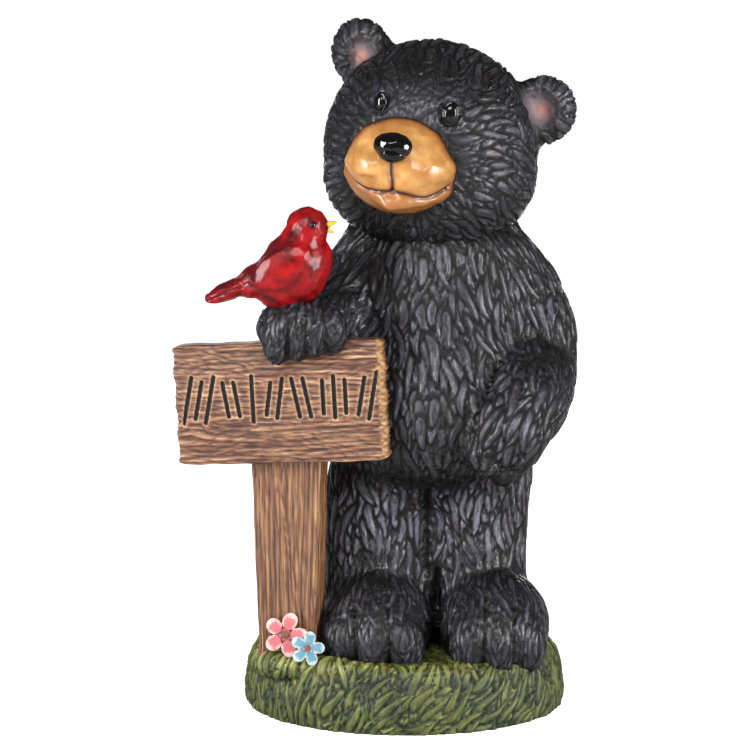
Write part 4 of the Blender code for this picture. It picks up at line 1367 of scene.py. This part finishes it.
# %% Dress
FINISH = (
    (head, black_coat, "coat_paint"), (upper, black_coat, "coat_paint"), (lower, black_coat, "coat_paint"),
    (muzzle, muzzle_paint(), "muzzle_paint"), (bird, scarlet_enamel(), "bird_red"),
    (beak, yellow_enamel(), "beak_yellow"),
    (board, wood_paint("wood_brown_acrylic_board", (0.05, 1, 1), BOARD_COLOURS), "sign_brown"),
    (post, wood_paint("wood_brown_acrylic_post", (1, 1, 0.04), POST_COLOURS), "sign_brown"),
    (grass, grass_paint(), "grass_green"),
    (pink, petal_paint("pink_chalk_paint", "#c9aea5", "#b9666b", "#943640", "#6a4630"), "pink_petal"),
    (blue, petal_paint("blue_chalk_paint", "#aeb8b5", "#5f8b9b", "#29627f", "#7c4234"), "blue_petal"),
)
gloss = black_enamel()
for piece in (nose, *eyes, *bird_eyes):
    FINISH += ((piece, gloss, "gloss_black"),)
total = 0
for piece, paint, slot in FINISH:
    piece.data.materials.clear()
    piece.data.materials.append(paint)
    piece.data.shade_smooth()
    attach(piece, "root")
    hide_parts("bear_statue")
    total += faces_of(piece)
print("all pieces have", total, "triangles")

# %% [markdown]
# ## Floor, light and camera
# A product picture cut out on white. A white room would show in every gloss black surface and turn it
# grey, so the room is white only to the camera: what falls on the figure is a dim room, two tall soft
# boxes at its sides, which rake the carving and put the two highlights in each eye, and weak ones
# above and behind. The floor glows a little for the camera, so only a soft contact shadow is left.


# %% Floor
def white_floor():
    bm = bmesh.new()
    bmesh.ops.create_grid(bm, x_segments=1, y_segments=1, size=8.0)
    floor = add_object("floor", bm)
    paint, tree = new_paint("white_paper", 0.9, specular=0.1)
    shader = tree.nodes["Principled BSDF"]
    shader.inputs["Emission Color"].default_value = linear("#ffffff")
    here = add(tree, "TexCoord", out="Object")
    fibre = add(tree, "TexNoise", {"Vector": here, "Scale": 2.5, "Detail": 1.0})
    colour = add(tree, "ValToRGB", {"Fac": fibre}, stops=((0.0, "#c0c0c0"), (1.0, "#c4c4c4")))
    seen = add(tree, "LightPath", out="Is Camera Ray")
    glow = add(tree, "MapRange", {"Value": seen, "To Min": 0.05, "To Max": 0.96})
    for name, source in (("Base Color", colour), ("Emission Strength", glow)):
        tree.links.new(source, shader.inputs[name])
    floor.data.materials.append(paint)
    floor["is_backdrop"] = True


white_floor()


# %% Lights
def soft_box(name, place, aim, power, width, tall):
    light = bpy.data.lights.new(name, "AREA")
    light.shape = "RECTANGLE"
    light.size, light.size_y = width, tall
    light.energy = power
    obj = bpy.data.objects.new(name, light)
    obj.location = place
    obj.rotation_euler = (Vector(aim) - Vector(place)).to_track_quat("-Z", "Y").to_euler()
    bpy.context.scene.collection.objects.link(obj)


soft_box("left_box", (-1.25, -0.88, 0.45), (0, 0, 0.18), 29, 0.30, 0.8)
soft_box("right_box", (1.30, -0.85, 0.42), (0, 0, 0.18), 28, 0.30, 0.8)
soft_box("front_box", (-0.15, -1.35, 1.1), (0, 0, 0.22), 17, 0.9, 0.45)
soft_box("back_box", (0.0, 1.35, 0.25), (0, 0, 0.2), 10, 1.0, 0.4)


# %% A dim room that the camera sees white
def room():
    world = bpy.data.worlds.new("studio")
    bpy.context.scene.world = world
    world.use_nodes = True
    tree = world.node_tree
    seen = add(tree, "LightPath", out="Is Camera Ray")
    strength = add(tree, "MapRange", {"Value": seen, "To Min": 0.13, "To Max": 1.0})
    tree.links.new(strength, tree.nodes["Background"].inputs["Strength"])
    tree.nodes["Background"].inputs["Color"].default_value = (1, 1, 1, 1)
    bpy.context.scene.view_settings.view_transform = "Standard"


room()

# %% Camera
CAMERA_PLACE = Vector((0, -1.45, 0.42))
CAMERA_AIM = Vector((-0.0182, 0, 0.2015))
camera = bpy.data.objects.new("camera", bpy.data.cameras.new("camera"))
camera.data.lens = 116
camera.data.sensor_width = 36
camera.location = CAMERA_PLACE
camera.rotation_euler = (CAMERA_AIM - CAMERA_PLACE).to_track_quat("-Z", "Y").to_euler()
bpy.context.scene.collection.objects.link(camera)
bpy.context.scene.camera = camera

# %% Measure and finish
low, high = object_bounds()
past = (*(cad_low - low), *(high - cad_high))
print("outside the solid's box by", [round(step / MM, 1) for step in past], "mm")
